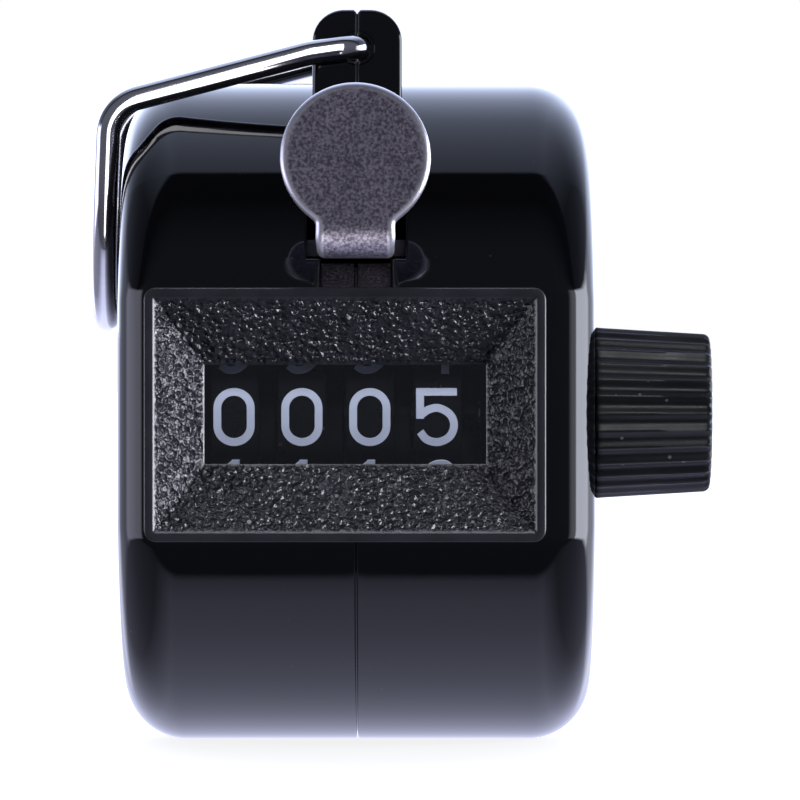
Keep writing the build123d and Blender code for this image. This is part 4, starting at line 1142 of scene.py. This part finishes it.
# ---- studio ----
def world_light():
    """Soft studio light by direction: a bright ceiling that carries on behind the object, a bright floor, a
    window of light low at each side and little in front. The camera itself sees plain white."""
    world = bpy.data.worlds.new("studio")
    world.use_nodes = True
    nodes = Nodes(world.node_tree)
    background = world.node_tree.nodes["Background"]
    direction = nodes.add("ShaderNodeSeparateXYZ")
    nodes.join(nodes.add("ShaderNodeTexCoord").outputs["Generated"], direction.inputs[0])
    x, y, z = direction.outputs
    rise = nodes.math("ARCTAN2", z, nodes.math("MULTIPLY", y, -1))
    wide = nodes.math("ABSOLUTE", x)

    def steps(value, *stops):
        """A brightness that follows straight runs between stops of value and brightness."""
        total = stops[0][1]
        for (start, low), (end, high) in zip(stops, stops[1:]):
            total = nodes.math("ADD", total, nodes.ramp(value, start, end, 0, high - low))
        return total

    def rising(*stops):
        """The same by the direction's rise in degrees: 0 level in front, 90 straight up, 180 level behind."""
        return steps(rise, *[(np.radians(degrees), light) for degrees, light in stops])

    ceiling = rising((91.5, 0), (94, 0.46), (104, 0.58), (124, 0.74), (141, 1.12), (152, 1.5), (175, 2.6))
    ceiling = nodes.math("MULTIPLY", ceiling, nodes.ramp(wide, 0.25, 0.7, 1, 0.1))
    table = rising((-57.5, 0), (-60.5, 0.40), (-69, 0.6), (-98, 0.8), (-142, 1.0))
    table = nodes.math("MULTIPLY", table, nodes.ramp(wide, 0.25, 0.62, 1, 0.22))
    front = rising((-60, 0.07), (20, 0.13), (60, 0.12), (80, 0.03))
    low = nodes.ramp(nodes.math("ABSOLUTE", z), 0.20, 0.27, 1, 0)
    right = steps(y, (-0.36, 0), (-0.24, 1.2), (-0.08, 1.5), (-0.03, 7.5), (0.50, 4.2), (0.60, 1.2),
                  (0.85, 0.5))
    right = nodes.math("MULTIPLY", nodes.math("MULTIPLY", right, low), nodes.ramp(x, 0.2, 0.3))
    left = steps(y, (-0.30, 0), (-0.22, 1.7), (0.36, 1.6), (0.5, 0.3), (0.8, 0.3), (0.93, 1.0))
    left = nodes.math("MULTIPLY", nodes.math("MULTIPLY", left, low), nodes.ramp(x, -0.3, -0.4))

    def tinted(light, tint):
        made = nodes.add("ShaderNodeVectorMath", operation="SCALE")
        made.inputs[0].default_value = tint
        nodes.join(light, made.inputs["Scale"])
        return made.outputs[0]

    def both(one, other):
        made = nodes.add("ShaderNodeVectorMath", operation="ADD")
        nodes.join(one, made.inputs[0])
        nodes.join(other, made.inputs[1])
        return made.outputs[0]

    colour = both(tinted(ceiling, (0.92, 1.05, 1.45)), tinted(table, (0.96, 1.0, 1.38)))
    colour = both(colour, tinted(front, (0.95, 1.0, 1.25)))
    colour = both(colour, both(tinted(right, (0.95, 1.0, 1.15)), tinted(left, (0.98, 0.98, 1.25))))
    seen = nodes.add("ShaderNodeLightPath").outputs["Is Camera Ray"]
    nodes.join(nodes.mix(seen, colour, (1, 1, 1)), background.inputs["Color"])
    bpy.context.scene.world = world


def floor(z):
    """The pale floor under the object, as one wide square; the object's gloss mirrors the studio, not it."""
    shape = Shape()
    reach = 3000.0
    corners = np.array([[(x, y, z) for x in (-reach, reach)] for y in (-reach, reach)])
    shape.add_grid(corners)
    mesh = bpy.data.meshes.new("floor")
    mesh.from_pydata((np.concatenate(shape.points) * MM).tolist(), [], shape.faces)
    finish = Finish("pale_floor", Roughness=0.9)
    tone = finish.use(GRAIN, Cell_Scale=0.02, Fine_Scale=0.1)
    finish.set("Base Color", finish.mix(tone["Tone"], (0.93, 0.93, 0.93), (0.95, 0.95, 0.95)))
    finish.shader.inputs["Emission Color"].default_value = (1, 1, 1, 1)
    finish.shader.inputs["Emission Strength"].default_value = 0.85
    mesh.materials.append(finish.material)
    made = bpy.data.objects.new("floor", mesh)
    bpy.context.scene.collection.objects.link(made)
    made.visible_glossy = False
    made.visible_diffuse = False
    made.visible_shadow = False
    made.visible_transmission = False


def soft_light(name, place, aim, size, power, tint, pieces):
    """An oblong area light at a place in millimetres, facing another place; its size is one side of a square
    or a width and a height. It lights only the named pieces, as a lamp behind a flag does."""
    data = bpy.data.lights.new(name, "AREA")
    data.shape = "RECTANGLE"
    data.size, data.size_y = np.broadcast_to(size, 2) * MM
    data.energy = power
    data.color = tint
    made = bpy.data.objects.new(name, data)
    bpy.context.scene.collection.objects.link(made)
    made.location = np.array(place) * MM
    facing(made, place, aim)
    made.visible_camera = False
    lit = bpy.data.collections.new(name + "_lit")
    for piece in pieces:
        lit.objects.link(bpy.data.objects[piece])
    made.light_linking.receiver_collection = lit


def facing(made, place, aim):
    """Turns a light or the camera so that it looks from one place to another, upright."""
    direction = Vector(np.array(aim, float) - np.array(place, float))
    made.rotation_euler = direction.to_track_quat("-Z", "Y").to_euler()


def camera():
    """A long lens in front, aimed a little right of the middle and from a little above."""
    data = bpy.data.cameras.new("camera")
    data.lens = 306
    data.sensor_width = 36
    data.clip_start = 0.01
    made = bpy.data.objects.new("camera", data)
    bpy.context.scene.collection.objects.link(made)
    place = (3.22, -520, 6.0)
    made.location = np.array(place) * MM
    facing(made, place, (3.22, 0, 0.85))
    bpy.context.scene.camera = made


DIGIT_PIECES = [wheel + "_digits" for wheel in WHEELS]
WINDOW_MIDDLE = (0, -22, 0)
LAMPS = (       # name, place, what it faces, size, power, tint and the pieces it lights
    ("front_fill", (-60, -420, 300), (0, 0, 0), 200, 2.1, (0.93, 0.95, 1.0), DIGIT_PIECES),
    ("knob_fill", (60, -420, 300), (20, -10, 0), 200, 0.7, (0.93, 0.97, 1.0), ["knob_fluted"]),
    ("pad_fill", (-60, -420, 200), (0, 0, 20), 300, 0.085, (1.0, 0.95, 1.14), ["lever_sheet"]),
    ("bend_glint", (0, -300, -230), (0, -28, 12), 90, 0.6, (0.98, 0.96, 1.0), ["lever_sheet"]),
    ("bezel_right", (420, -170, 20), WINDOW_MIDDLE, 200, 6.0, (0.98, 0.98, 1.1), ["window_frame"]),
    ("bezel_left", (-420, -170, 20), WINDOW_MIDDLE, 200, 1.3, (0.98, 0.98, 1.1), ["window_frame"]),
    ("bezel_top", (0, -240, 360), WINDOW_MIDDLE, 110, 0.75, (0.98, 0.98, 1.1), ["window_frame"]),
    ("ring_glint", (25, -340, 0), (25, 0, 0), (170, 700), 1.1, (1, 1, 1), ["ring_wire"]),
)

world_light()
floor(-CASE_R)
for lamp in LAMPS:
    soft_light(*lamp)
camera()
bpy.context.scene.view_settings.view_transform = "Standard"
